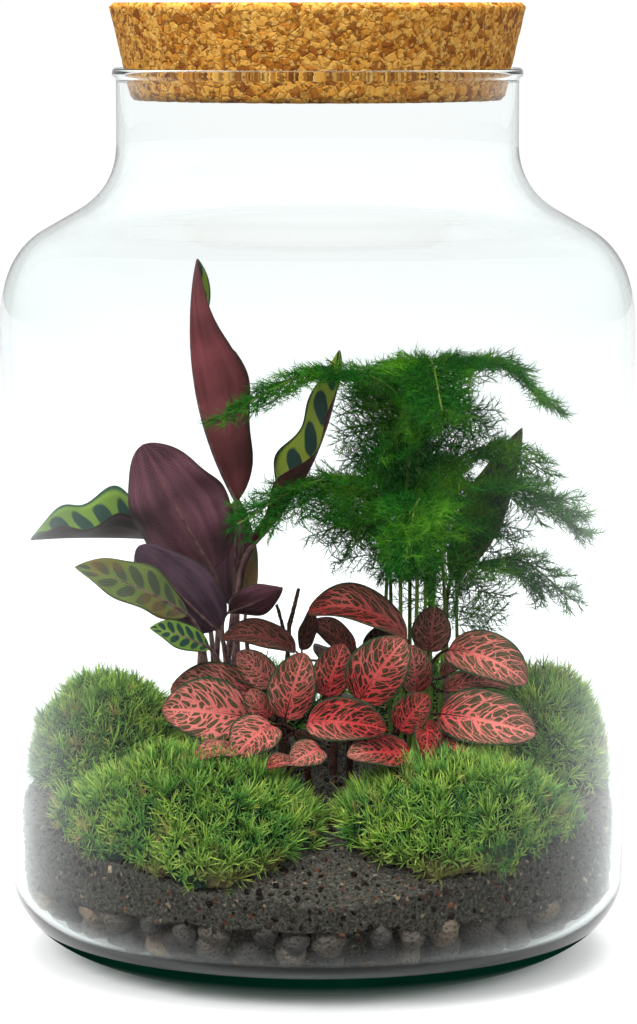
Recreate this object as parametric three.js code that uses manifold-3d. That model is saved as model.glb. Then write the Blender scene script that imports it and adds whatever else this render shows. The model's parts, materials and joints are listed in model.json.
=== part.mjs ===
// A planted glass jar garden: a clear shouldered jar closed by a cork stopper, with drainage stones, soil,
// moss cushions, a prayer plant, a nerve plant and an asparagus fern.
//
// Millimetres, +Z up. The origin is the middle of the ring that the jar stands on.
// The viewer stands on the -Y side, with +X to the right.

import * as THREE from 'three';
import { mergeVertices } from 'three/addons/utils/BufferGeometryUtils.js';
import Module from 'manifold-3d';

const wasm = await Module();
wasm.setup();

// Driving dimensions

const SIDES = 32; // flat sides of every round piece of the jar, all in the same phase
const GAP = 0.35; // clearance between pieces that touch

const JAR = {
  footRadius: 60.5, // outer edge of the flat ring that it stands on
  footWidth: 8.5,
  pushUp: 2, // how far the middle of the underside is raised
  floor: 4.6, // top of the glass floor
  cornerHeight: 24.8, // where the rounded bottom corner meets the wall
  wallFoot: 97.5, // outer radius at the bottom of the wall
  widest: 100, // outer radius just under the shoulder
  shoulderStart: 200,
  shoulderEnd: 229.3,
  neckFoot: 235,
  neckStart: 256,
  neckOuter: 63,
  neckInner: 61,
  wall: 3,
  top: 279.8,
  lip: 1.2, // how far the lip stands out
};

const CORK = { bottom: 270, top: 300, bottomRadius: 58.7, topRadius: 65, bevel: 0.9 };

const STONES = { bottom: 5, top: 27.4, rows: 3, around: 42, bulge: 3.6 };

const SOIL = { bottom: 28.2, middle: 56, frontDrop: 21, backRise: 6, sideDrop: 6 };

// Colours and finishes, read from the photograph

function finish(name, color, roughness, extra = {}) {
  return new THREE.MeshStandardMaterial({ name, color, roughness, metalness: 0, ...extra });
}

const FINISH = {
  glass: finish('clear_glass', 0xdfeeea, 0.05, { transparent: true, opacity: 0.25 }),
  cork: finish('cork', 0xc2925c, 0.9),
  stone: finish('drainage_stone', 0x5f564f, 0.85),
  soil: finish('soil', 0x33241d, 1),
  moss: finish('moss', 0x5f8a2c, 1),
  prayer: finish('prayer_leaf', 0x5a2b3c, 0.5),
  nerve: finish('nerve_leaf', 0x9c3440, 0.55),
  fern: finish('fern_green', 0x2f7a34, 0.7),
  twig: finish('dry_twig', 0x33251d, 0.9),
};

// Tools

// A random number source that always gives the same series for the same seed.
function seeded(seed) {
  let state = seed >>> 0;
  return () => {
    state = (state + 0x6d2b79f5) >>> 0;
    let t = state;
    t = Math.imul(t ^ (t >>> 15), t | 1);
    t ^= t + Math.imul(t ^ (t >>> 7), t | 61);
    return ((t ^ (t >>> 14)) >>> 0) / 4294967296;
  };
}

function vec(x, y, z) {
  return new THREE.Vector3(x, y, z);
}

// A closed geometry as a solid that can be joined and cut, with points this close together made one.
function solid(geometry, closeness = 1e-4) {
  const bare = geometry.clone();
  bare.deleteAttribute('normal');
  bare.deleteAttribute('uv');
  const merged = mergeVertices(bare, closeness);
  return new wasm.Manifold(
    new wasm.Mesh({
      numProp: 3,
      vertProperties: new Float32Array(merged.attributes.position.array),
      triVerts: new Uint32Array(merged.index.array),
    }),
  );
}

function geometryOf(shape) {
  const data = shape.getMesh();
  const geometry = new THREE.BufferGeometry();
  geometry.setAttribute('position', new THREE.BufferAttribute(new Float32Array(data.vertProperties), 3));
  geometry.setIndex(new THREE.BufferAttribute(new Uint32Array(data.triVerts), 1));
  return geometry;
}

// The largest body of a cut or joined solid, with slivers finer than the tolerance smoothed away.
function mainBody(shape, tolerance = 0.01) {
  const smooth = shape.asOriginal().simplify(tolerance);
  const bodies = solid(geometryOf(smooth), 2e-3).decompose();
  return bodies.reduce((best, body) => (body.volume() > best.volume() ? body : best));
}

function fuse(shapes, tolerance) {
  return mainBody(wasm.Manifold.union(shapes), tolerance);
}

const terrarium = new THREE.Group();

function place(name, shape, material) {
  const geometry = geometryOf(shape);
  geometry.computeVertexNormals();
  const piece = new THREE.Mesh(geometry, material);
  piece.name = name;
  terrarium.add(piece);
}

// A closed surface from rings of points, each ring with the same number of points, with flat ends.
function ringsGeometry(rings) {
  const count = rings[0].length;
  const positions = rings.flat().flatMap((p) => [p.x, p.y, p.z]);
  const triangles = [];
  for (let r = 0; r + 1 < rings.length; r += 1) {
    for (let i = 0; i < count; i += 1) {
      const j = (i + 1) % count;
      const [a, b] = [r * count + i, r * count + j];
      const [c, d] = [a + count, b + count];
      triangles.push(a, b, d, a, d, c);
    }
  }
  const last = (rings.length - 1) * count;
  for (let i = 1; i + 1 < count; i += 1) {
    triangles.push(0, i + 1, i);
    triangles.push(last, last + i, last + i + 1);
  }
  const geometry = new THREE.BufferGeometry();
  geometry.setAttribute('position', new THREE.Float32BufferAttribute(positions, 3));
  geometry.setIndex(triangles);
  return geometry;
}

// A round rod along a curve, tapering from the first radius to the second.
function rod(curve, startRadius, endRadius, sides, steps) {
  const frames = curve.computeFrenetFrames(steps, false);
  const rings = [];
  for (let s = 0; s <= steps; s += 1) {
    const centre = curve.getPointAt(s / steps);
    const radius = THREE.MathUtils.lerp(startRadius, endRadius, s / steps);
    const ring = [];
    for (let i = 0; i < sides; i += 1) {
      const angle = (i / sides) * Math.PI * 2;
      const point = centre.clone();
      point.addScaledVector(frames.normals[s], Math.cos(angle) * radius);
      point.addScaledVector(frames.binormals[s], Math.sin(angle) * radius);
      ring.push(point);
    }
    rings.push(ring);
  }
  return ringsGeometry(rings);
}

// Room that is already taken, as round-ended bars with an owner, so that a frond keeps clear of the rest.

const taken = [];

function take(owner, from, to, radius) {
  taken.push({ owner, line: new THREE.Line3(from.clone(), to.clone()), radius });
}

// Shortest way between two straight lines, found by testing points along the shorter one.
function distanceBetween(first, second) {
  const steps = Math.max(2, Math.ceil(first.distance() / 1.5));
  const point = vec(0, 0, 0);
  const foot = vec(0, 0, 0);
  let best = Infinity;
  for (let i = 0; i <= steps; i += 1) {
    first.at(i / steps, point);
    second.closestPointToPoint(point, true, foot);
    best = Math.min(best, foot.distanceTo(point));
  }
  return best;
}

function isFree(owner, from, to, radius) {
  const line = new THREE.Line3(from, to);
  return taken.every((bar) => {
    const room = bar.radius + radius + GAP;
    return bar.owner === owner || distanceBetween(line, bar.line) > room;
  });
}

// Glass jar

// Points of a quadratic curve through two ends, drawn towards a corner, without its first point.
function sweep(start, corner, end, steps) {
  const curve = new THREE.QuadraticBezierCurve(
    new THREE.Vector2(...start),
    new THREE.Vector2(...corner),
    new THREE.Vector2(...end),
  );
  return curve.getPoints(steps).slice(1);
}

// A quarter of an ellipse from its lowest point out to its side, without its first point.
function bottomCorner(centreRadius, outerRadius, bottom, top, steps) {
  return Array.from({ length: steps }, (_, i) => {
    const angle = ((i + 1) / steps) * (Math.PI / 2);
    return new THREE.Vector2(
      centreRadius + (outerRadius - centreRadius) * Math.sin(angle),
      top - (top - bottom) * Math.cos(angle),
    );
  });
}

const wallSlope = (JAR.widest - JAR.wallFoot) / (JAR.shoulderStart - JAR.cornerHeight);

// Inside radius of the straight wall at a height.
function insideRadius(height) {
  return JAR.wallFoot - JAR.wall + (height - JAR.cornerHeight) * wallSlope;
}

function outerProfile() {
  const { footRadius, footWidth, widest, shoulderStart, shoulderEnd, neckFoot, neckStart, neckOuter } = JAR;
  const { top, lip } = JAR;
  return [
    new THREE.Vector2(0, JAR.pushUp),
    new THREE.Vector2(footRadius - footWidth - 8, JAR.pushUp),
    new THREE.Vector2(footRadius - footWidth, 0),
    new THREE.Vector2(footRadius, 0),
    ...bottomCorner(footRadius, JAR.wallFoot, 0, JAR.cornerHeight, 5),
    new THREE.Vector2(widest, shoulderStart),
    ...sweep([widest, shoulderStart], [widest - 0.4, shoulderStart + 21.5], [86, shoulderEnd], 3),
    new THREE.Vector2(76, neckFoot),
    ...sweep([76, neckFoot], [neckOuter + 0.2, 242], [neckOuter, neckStart], 3),
    new THREE.Vector2(neckOuter, top - 4),
    new THREE.Vector2(neckOuter + lip, top - 2.4),
    new THREE.Vector2(neckOuter + lip, top - 1),
    new THREE.Vector2(neckOuter + 0.2, top),
  ];
}

function innerProfile() {
  const { widest, wall, shoulderStart, neckInner, neckFoot, neckStart, top, floor } = JAR;
  const inside = widest - wall;
  const shoulder = shoulderStart - 1;
  return [
    new THREE.Vector2(neckInner + 1, top),
    new THREE.Vector2(neckInner, top - 1.8),
    new THREE.Vector2(neckInner, neckStart - 2),
    ...sweep([neckInner, neckStart - 2], [neckInner, neckFoot + 3], [73.4, neckFoot - 4], 2),
    new THREE.Vector2(83.6, 225.3),
    ...sweep([83.6, 225.3], [inside - 0.4, 217.8], [inside, shoulder], 2),
    ...bottomCorner(JAR.footRadius, JAR.wallFoot - wall, floor, JAR.cornerHeight, 4).reverse(),
    new THREE.Vector2(JAR.footRadius, floor),
    new THREE.Vector2(0, floor),
  ];
}

// A solid turned about +Z from a profile of radius and height, from the axis back to the axis.
function turned(profile) {
  return solid(new THREE.LatheGeometry(profile, SIDES)).rotate([90, 0, 0]);
}

place('glass_jar', turned([...outerProfile(), ...innerProfile()]), FINISH.glass);

// Cork stopper, resting in the neck

function corkProfile() {
  const { bottom, top, bottomRadius, topRadius, bevel } = CORK;
  const points = [
    [0, bottom],
    [bottomRadius - bevel, bottom],
    [bottomRadius, bottom + bevel],
    [topRadius, top - bevel],
    [topRadius - bevel, top],
    [0, top],
  ];
  return points.map(([radius, height]) => new THREE.Vector2(radius, height));
}

place('cork_stopper', turned(corkProfile()), FINISH.cork);

// Drainage stones: one packed bed, raised into rows of grains against the glass

// Inside radius of the jar below the wall, where its bottom corner is rounded.
function cornerRadius(height) {
  const { footRadius, wallFoot, wall, floor, cornerHeight } = JAR;
  const drop = THREE.MathUtils.clamp((cornerHeight - height) / (cornerHeight - floor), 0, 1);
  return footRadius + (wallFoot - wall - footRadius) * Math.sqrt(1 - drop ** 2);
}

// Every second ring of the bed's skin passes over a row of grains, and there every second point is a grain's
// crown. The other points lie in the dips between grains.
function stoneBed() {
  const { bottom, top, rows, around, bulge } = STONES;
  const random = seeded(11);
  const clearOfGlass = 1.2;
  const rings = Array.from({ length: rows * 2 + 1 }, (_, k) =>
    Array.from({ length: around * 2 }, (_point, i) => {
      const crown = k % 2 === 1 && (i + (k - 1) / 2) % 2 === 0;
      const height = THREE.MathUtils.lerp(bottom, top, k / (rows * 2)) + (crown ? (random() - 0.5) * 1.6 : 0);
      const dip = crown ? random() * 0.8 : bulge;
      const radius = cornerRadius(height - clearOfGlass) - clearOfGlass - dip;
      const angle = ((i + (crown ? (random() - 0.5) * 0.5 : 0)) / (around * 2)) * Math.PI * 2;
      return vec(Math.cos(angle) * radius, Math.sin(angle) * radius, height);
    }),
  );
  return solid(ringsGeometry(rings));
}

place('drainage_stones', stoneBed(), FINISH.stone);

// Soil: one body that follows the glass, with plain holes for what stands in it

// Height of the soil's surface: it falls towards the front and the sides and rises to the back.
function soilHeight(x, y) {
  const forward = Math.max(0, -y) / 92;
  const backward = Math.max(0, y) / 92;
  const { middle, frontDrop, backRise, sideDrop } = SOIL;
  const lumps = 0.9 * Math.sin(x * 0.13 + 0.6) * Math.cos(y * 0.11 + 0.4);
  const slope = backRise * backward - frontDrop * forward ** 2.2 - sideDrop * (x / 95) ** 2;
  return middle + slope + lumps;
}

// A round block of ground whose top is the soil's surface, raised by a margin.
// Its last rings stand at the given radius, or follow the glass where none is given.
function groundBlock(margin, edgeRadius) {
  const ringRadii = [16, 34, 52, 68, 81, 92];
  const point = (angle, radius) => {
    const x = Math.sin(angle) * radius;
    const y = -Math.cos(angle) * radius;
    return vec(x, y, soilHeight(x, y) + margin);
  };
  const ring = (make) => Array.from({ length: SIDES }, (_, i) => make((i / SIDES) * Math.PI * 2));
  const rings = ringRadii.map((radius) => ring((angle) => point(angle, radius)));
  rings.push(
    ring((angle) => {
      const reach = edgeRadius ?? insideRadius(soilHeight(0, -90)) - GAP;
      const edge = point(angle, reach);
      const wall = edgeRadius ?? insideRadius(edge.z) - GAP;
      return vec(Math.sin(angle) * wall, -Math.cos(angle) * wall, edge.z);
    }),
  );
  rings.push(
    ring((angle) => {
      const wall = edgeRadius ?? insideRadius(SOIL.bottom) - GAP;
      return vec(Math.sin(angle) * wall, -Math.cos(angle) * wall, SOIL.bottom);
    }),
  );
  return solid(ringsGeometry(rings.reverse()));
}

// Stems go this deep into the soil, each in a plain hole of its own.
const ROOT_DEPTH = 8;
const PLAY = 0.5; // extra room round a stem in its hole
const holes = [];

// The foot of a stem in the soil at a place, where it also leaves its hole.
function rootAt([x, y], radius) {
  const foot = vec(x, y, soilHeight(x, y) - ROOT_DEPTH);
  holes.push({ foot, radius: radius + GAP + PLAY });
  return foot;
}

function soilWithHoles() {
  const cutters = holes.map(({ foot, radius }) => {
    const sides = 4;
    const outer = radius / Math.cos(Math.PI / sides);
    const bottom = foot.clone().setZ(foot.z - GAP);
    const top = bottom.clone().setZ(foot.z + ROOT_DEPTH + 10);
    return solid(rod(new THREE.LineCurve3(bottom, top), outer, outer, sides, 1));
  });
  return mainBody(groundBlock(0).subtract(wasm.Manifold.union(cutters)));
}

// Moss: lumpy cushions that lie on the soil and lean against the glass

const MOSS = [
  { name: 'moss_front_left', centre: [-41, -59], reach: [44, 32], height: 23, seed: 3 },
  { name: 'moss_front_right', centre: [44, -57], reach: [40, 27], height: 21, seed: 5 },
  { name: 'moss_left', centre: [-70, 22], reach: [29, 34], height: 27, seed: 7 },
  { name: 'moss_right', centre: [73, 20], reach: [26, 36], height: 30, seed: 9 },
  { name: 'moss_back_left', centre: [-24, 70], reach: [28, 22], height: 19, seed: 13 },
  { name: 'moss_back_right', centre: [33, 69], reach: [27, 21], height: 21, seed: 17 },
];

function cushion({ centre, reach, height, seed }) {
  const random = seeded(seed);
  const around = 14;
  const levels = [0.25, 0.52, 0.76, 0.94];
  const tuft = 0.9;
  const lobes = Array.from({ length: around }, () => 0.95 + random() * 0.1);
  const point = (i, level, lift) => {
    const angle = (i / around) * Math.PI * 2;
    const x = centre[0] + Math.cos(angle) * reach[0] * level * lobes[i];
    const y = centre[1] + Math.sin(angle) * reach[1] * level * lobes[i];
    return vec(x, y, soilHeight(x, y) + lift);
  };
  const rings = levels.map((level, r) =>
    lobes.map((_, i) => {
      const dome = height * (1 - level ** 2) ** 0.62;
      const lump = (i + r) % 2 ? tuft : -tuft;
      return point(i, level, dome + lump * (0.6 + random() * 0.8));
    }),
  );
  rings.push(lobes.map((_, i) => point(i, 1, -4)));
  return solid(ringsGeometry(rings.reverse()));
}

function insideOfJar() {
  const { floor, shoulderStart } = JAR;
  const margin = GAP + 0.05;
  const profile = [
    [0, floor],
    [insideRadius(floor) - margin, floor],
    [insideRadius(shoulderStart) - margin, shoulderStart],
    [0, shoulderStart],
  ];
  return turned(profile.map(([radius, height]) => new THREE.Vector2(radius, height)));
}

const room = insideOfJar();
const ground = groundBlock(GAP, JAR.widest + 20);
MOSS.forEach((moss) => {
  place(moss.name, mainBody(cushion(moss).intersect(room).subtract(ground), 0.05), FINISH.moss);
});

// Leaves: one strip each, stalk and blade together, the same shape on both faces

const BLADE = 0.7; // thickness

const LANCE = (s) => Math.sin(Math.PI * s ** 0.82) ** 0.78;
const OVAL = (s) => Math.sin(Math.PI * s ** 0.8) ** 0.55;

// Rows of three points over a blade's middle surface, from its base to its tip: edge, midrib, edge.
// face is where the upper side looks, bow lifts the middle of the midrib that way, fold raises the edges,
// twist turns the blade about its midrib on the way to the tip, all of it near the tip where curl is high, and
// wave is the height of its edge waves.
function bladeRows(leaf) {
  const { base, tip, face, width, outline, neck } = leaf;
  const { bow = 0, fold = 0.2, twist = 0, curl = 1, wave = 0, waves = 2, phase = 0 } = leaf;
  const start = vec(...base);
  const end = vec(...tip);
  const look = vec(...face).normalize();
  const bend = start.clone().lerp(end, 0.5).addScaledVector(look, bow * 2);
  const midrib = new THREE.QuadraticBezierCurve3(start, bend, end);
  return Array.from({ length: leaf.rows + 1 }, (_, r) => {
    const even = r / leaf.rows;
    const s = THREE.MathUtils.lerp(even, (1 - Math.cos(Math.PI * even)) / 2, 0.5);
    const along = midrib.getTangent(s);
    const side = along.clone().cross(look.clone().applyAxisAngle(along, twist * s ** curl)).normalize();
    const up = side.clone().cross(along);
    const half = Math.max((width / 2) * outline(s), r === 0 ? neck : 0.4);
    const middle = midrib.getPoint(s);
    const points = [-1, 0, 1].map((u) => {
      const ripple = Math.sin(Math.PI * 2 * (waves * s + phase) + (u > 0 ? 0.9 : 0));
      const rise = Math.abs(u) * (half * Math.sin(fold) + wave * ripple * outline(s));
      return middle.clone().addScaledVector(side, u * half * Math.cos(fold)).addScaledVector(up, rise);
    });
    return { points, side, up, along, thickness: BLADE };
  });
}

// Rows along a stalk that ends at the blade's base, as wide as the blade is there.
function stalkRows(stalk, steps, half, thickness, firstBladeRow) {
  return Array.from({ length: steps }, (_, i) => {
    const middle = stalk.getPoint(i / steps);
    const along = stalk.getTangent(i / steps);
    const side = firstBladeRow.side.clone().addScaledVector(along, -along.dot(firstBladeRow.side)).normalize();
    const up = side.clone().cross(along);
    const points = [-1, 0, 1].map((u) => middle.clone().addScaledVector(side, u * half));
    return { points, side, up, along, thickness };
  });
}

// The closed strip round rows of three points, split into triangles alike on both faces.
function stripGeometry(rows) {
  const positions = [];
  [0.5, -0.5].forEach((lift) => {
    rows.forEach(({ points, up, thickness }) => {
      points.forEach((p) => positions.push(...p.clone().addScaledVector(up, lift * thickness).toArray()));
    });
  });
  const under = rows.length * 3;
  const last = under - 3;
  const triangles = [];
  const wallBetween = (a, b) => triangles.push(a, a + under, b + under, a, b + under, b);
  for (let row = 0; row < last; row += 3) {
    [row, row + 1].forEach((a) => {
      const [b, c, d] = [a + 1, a + 3, a + 4];
      triangles.push(a, b, d, a, d, c);
      triangles.push(a + under, d + under, b + under, a + under, c + under, d + under);
    });
    wallBetween(row + 3, row);
    wallBetween(row + 2, row + 5);
  }
  [0, 1].forEach((a) => {
    wallBetween(a, a + 1);
    wallBetween(last + a + 1, last + a);
  });
  const geometry = new THREE.BufferGeometry();
  geometry.setAttribute('position', new THREE.Float32BufferAttribute(positions, 3));
  geometry.setIndex(triangles);
  return geometry;
}

// A leaf's blade takes up room: one bar across it at each row.
function takeBlade(owner, rows) {
  const pitch = rows[2].points[1].distanceTo(rows[3].points[1]);
  rows.forEach(({ points }) => take(owner, points[0], points[2], pitch / 2 + 0.6));
}

function takeCurve(owner, curve, radius, steps) {
  const points = curve.getPoints(steps);
  points.slice(1).forEach((point, i) => take(owner, points[i], point, radius));
}

// Prayer plant: lance-shaped leaves with waved edges, each on its own stalk out of the soil

const STALK = { half: 1, thickness: 1.6, steps: 4 };

// root is where the stalk leaves the soil; the sizes of a blade are explained at bladeRows.
const PRAYER_PLANT = [
  { name: 'prayer_leaf_tall', root: [-31, 13], base: [-26, 11, 142], tip: [-38, 6, 221], face: [0.77, 0.64, 0.1],
    width: 34, bow: -9, fold: 0.7, twist: -1.2, curl: 3, wave: 1.8, waves: 2, phase: 0.2 },
  { name: 'prayer_leaf_broad', root: [-34, 5], base: [-33.5, 3, 121], tip: [-55, -5, 162], face: [0.1, 0.95, 0.1],
    width: 32, outline: OVAL, bow: -2, wave: 1.2, waves: 1.8, phase: 0.1 },
  { name: 'prayer_leaf_low_broad', root: [-30, -1], base: [-32, -5, 103], tip: [-56, -14, 131],
    face: [0.2, 0.95, 0.3], width: 24, outline: OVAL, bow: -2, wave: 1, waves: 1.5, phase: 0.5 },
  { name: 'prayer_leaf_left', root: [-39, 14], base: [-44, 23, 128], tip: [-92.5, 7, 130], face: [0.05, -0.3, 0.95],
    width: 30, bow: 1, fold: 0.8, wave: 2.6, waves: 2.6, phase: 0 },
  { name: 'prayer_leaf_low_left', root: [-34, -1], base: [-41, -13, 109], tip: [-75, -26, 126],
    face: [0.1, -0.75, 0.65], width: 17, bow: 3, wave: 1.2, waves: 2, phase: 0.4 },
  { name: 'prayer_leaf_droop', root: [-29, -6], base: [-34, -17, 99], tip: [-52, -27, 107], face: [-0.2, -0.8, 0.6],
    width: 10, bow: 2, wave: 0.8, waves: 1.4, phase: 0 },
  { name: 'prayer_leaf_right', root: [-25, 8], base: [-21, 7, 128], tip: [7, 4, 191], face: [-0.94, 0.34, 0.3],
    width: 21, bow: -7, fold: 0.75, twist: 1.5, wave: 2.4, waves: 2.4, phase: 0.3 },
  { name: 'prayer_leaf_dark', root: [-27, 16], base: [-27, 20, 106], tip: [-26, 23, 142], face: [0.1, 0.95, 0.2],
    width: 15, bow: -2, wave: 0.9, waves: 1.6, phase: 0.6 },
  { name: 'prayer_leaf_small', root: [-25, 2], base: [-28, -1, 108], tip: [-11, -9, 117], face: [-0.15, 0.85, 0.45],
    width: 13, bow: -1, wave: 0.8, waves: 1.3, phase: 0.2 },
  { name: 'prayer_leaf_young', root: [-20, 13], base: [-23, 10, 108], tip: [-20, 11, 127], face: [0.3, -0.9, 0.1],
    width: 5, bow: 0, wave: 0.3, waves: 1, phase: 0 },
  { name: 'prayer_leaf_back', root: [-33, 20], base: [-36, 27, 104], tip: [-51, 50, 133], face: [0.2, -0.5, 0.8],
    width: 20, bow: 4, wave: 1.4, waves: 2, phase: 0.3 },
  { name: 'prayer_leaf_far_right', root: [43, 36], base: [44, 37, 113], tip: [67, 35, 163], face: [0.3, 0.9, 0.2],
    width: 15, bow: -2, wave: 1.4, waves: 2, phase: 0.5 },
];

// A stalk that rises straight out of the soil and bends into the blade.
function stalkCurve(foot, base, along) {
  const rise = base.z - foot.z;
  return new THREE.CubicBezierCurve3(
    foot,
    foot.clone().add(vec(0, 0, rise * 0.6)),
    base.clone().addScaledVector(along, -rise * 0.14),
    base,
  );
}

PRAYER_PLANT.forEach((leaf) => {
  const blade = bladeRows({ outline: LANCE, rows: 10, neck: STALK.half, ...leaf });
  const foot = rootAt(leaf.root, STALK.half);
  const stalk = stalkCurve(foot, vec(...leaf.base), blade[0].along);
  takeBlade(leaf.name, blade);
  takeCurve(leaf.name, stalk, STALK.half, 8);
  const rows = [...stalkRows(stalk, STALK.steps, STALK.half, STALK.thickness, blade[0]), ...blade];
  place(leaf.name, solid(stripGeometry(rows)), FINISH.prayer);
});

// Nerve plant: short leafy stems with oval leaves

const NERVE_STEM = { foot: 1.4, end: 0.9, sides: 5, steps: 3, petiole: 0.6 };

// Each leaf is base, tip, direction its upper side faces, width, and how far it bows.
const NERVE_PLANT = [
  { name: 'nerve_stem_left', root: [-8, -15], top: [-14, -20, 82], leaves: [
    [[-22, -28, 79], [-48, -32, 82], [-0.1, -0.85, 0.5], 22, 2],
    [[-20, -19, 85], [-46, -20, 86], [0, -0.75, 0.66], 17, 3],
    [[-7, -10, 97], [-30, -11, 101], [-0.1, -0.4, 0.9], 16, 3],
    [[-14, -21, 88], [-25, -19, 98], [-0.2, -0.85, 0.4], 11, 1],
    [[-15, -30, 79], [-21, -29, 88], [-0.3, -0.9, 0.3], 9, 1],
  ] },
  { name: 'nerve_stem_front', root: [-2, -26], top: [-7, -36, 76], leaves: [
    [[-10, -36, 80], [-4, -38, 101], [-0.15, -0.95, 0.3], 16, 1],
    [[-14, -42, 79], [-25, -52, 71], [-0.1, -0.8, 0.6], 16, 2],
    [[1, -50, 73], [-8, -59, 70], [0, -0.8, 0.6], 11, 1],
    [[-23, -46, 71], [-37, -57, 71], [0, -0.4, 0.9], 12, 2],
    [[-3, -50, 67], [-15, -61, 69], [0, -0.35, 0.94], 11, 2],
  ] },
  { name: 'nerve_stem_middle', root: [10, -27], top: [10, -35, 80], leaves: [
    [[13, -32, 85], [27, -31, 104], [-0.2, -0.9, 0.35], 20, 2],
    [[-3, -42, 80], [21, -50, 79], [0, -0.75, 0.65], 17, 2],
    [[29, -45, 70], [9, -56, 72], [0, -0.7, 0.7], 14, 2],
    [[2, -30, 86], [8, -27, 102], [0.1, -0.9, 0.4], 13, 1],
  ] },
  { name: 'nerve_stem_top', root: [5, -8], top: [8, -11, 95], leaves: [
    [[28, -17, 102], [-3, -23, 111], [0, -0.5, 0.86], 20, 7],
    [[11, -6, 95], [-3, -4, 105], [0.2, -0.5, 0.8], 12, 2],
    [[18, -14, 94], [22, -11, 105], [0.1, -0.9, 0.3], 12, 1],
    [[-5, -14, 98], [-2, -13, 111], [0.7, -0.7, 0.1], 8, 0],
    [[7, -1, 88], [4, 22, 92], [0, 0.3, 0.95], 15, 3],
  ] },
  { name: 'nerve_stem_right', root: [18, -20], top: [27, -27, 78], leaves: [
    [[25, -38, 77], [34, -39, 88], [0, -0.9, 0.4], 12, 1],
    [[38, -28, 80], [67, -37, 75], [0.1, -0.8, 0.6], 21, 2],
    [[34, -38, 80], [33, -46, 69], [0.2, -0.85, 0.5], 9, 1],
    [[38, -31, 74], [46, -41, 69], [0.2, -0.7, 0.7], 9, 1],
    [[31, -23, 86], [29, -23, 101], [0.2, -0.95, 0.1], 12, 1],
  ] },
  { name: 'nerve_stem_far_right', root: [22, -8], top: [34, -12, 90], leaves: [
    [[41, -15, 98], [65, -24, 89], [0.15, -0.8, 0.6], 18, 5],
    [[35, -11, 97], [37, -9, 111], [0, -0.95, 0.3], 13, 1],
    [[40, -14, 85], [60, -15, 86], [0, -0.5, 0.86], 11, 3],
    [[40, -6, 88], [60, 6, 90], [0.2, 0.2, 0.95], 15, 3],
  ] },
  { name: 'nerve_stem_back', root: [-3, 5], top: [-2, 10, 80], leaves: [
    [[-7, 9, 84], [-20, 26, 82], [-0.2, 0.3, 0.9], 14, 3],
    [[0, 14, 80], [2, 38, 77], [0, 0.4, 0.9], 15, 3],
    [[3, 8, 76], [18, 26, 72], [0.2, 0.3, 0.9], 13, 3],
  ] },
];

// The point of a stem that is nearest to a leaf's base.
function nearestOn(curve, point) {
  const points = curve.getPoints(12);
  return points.reduce((best, p) => (p.distanceTo(point) < best.distanceTo(point) ? p : best));
}

NERVE_PLANT.forEach(({ name, root, top, leaves }) => {
  const foot = rootAt(root, NERVE_STEM.foot);
  const end = vec(...top);
  const knee = vec(foot.x, foot.y, THREE.MathUtils.lerp(foot.z, end.z, 0.6));
  const stem = new THREE.QuadraticBezierCurve3(foot, knee, end);
  takeCurve(name, stem, NERVE_STEM.foot, 6);
  const shapes = [solid(rod(stem, NERVE_STEM.foot, NERVE_STEM.end, NERVE_STEM.sides, NERVE_STEM.steps))];
  leaves.forEach(([base, tip, face, width, bow]) => {
    const leaf = { base, tip, face, width, bow, outline: OVAL, rows: 5, neck: NERVE_STEM.petiole };
    const blade = bladeRows({ ...leaf, fold: 0.25, wave: 0.4, waves: 1.5, phase: 0.1 });
    const joint = vec(...base);
    const start = nearestOn(stem, joint);
    const elbow = joint.clone().addScaledVector(blade[0].along, -0.4 * start.distanceTo(joint));
    const petiole = new THREE.QuadraticBezierCurve3(start, elbow, joint);
    takeBlade(name, blade);
    takeCurve(name, petiole, NERVE_STEM.petiole, 3);
    const rows = [...stalkRows(petiole, 1, NERVE_STEM.petiole, 1, blade[0]), ...blade];
    shapes.push(solid(stripGeometry(rows)));
  });
  place(name, fuse(shapes, 0.05), FINISH.nerve);
});

// Dry twig with two short side shoots

function twig() {
  const foot = rootAt([-13, 2], 1);
  const fork = vec(-9, 3, 104);
  const parts = [
    [foot, fork, 1],
    [fork, vec(-6, 2, 115), 0.8],
    [vec(-10.2, 3, 98), vec(-13, 1, 110), 0.7],
  ];
  parts.forEach(([from, to, radius]) => take('dry_twig', from, to, radius));
  return fuse(parts.map(([from, to, radius]) => {
    const start = from === foot ? from : from.clone().lerp(to, -0.08);
    return solid(rod(new THREE.LineCurve3(start, to), radius, radius * 0.7, 5, 1));
  }));
}

place('dry_twig', twig(), FINISH.twig);

// Asparagus fern: wiry fronds whose twigs carry short needles in flat combs

const FROND = { foot: 1, end: 0.4, sides: 4, steps: 9, twigs: 11 };
const COMB = { thickness: 0.6, foot: 0.45, spine: 0.3, needle: 5.5, root: 0.9, lean: 0.85, pairs: 2 };

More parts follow.
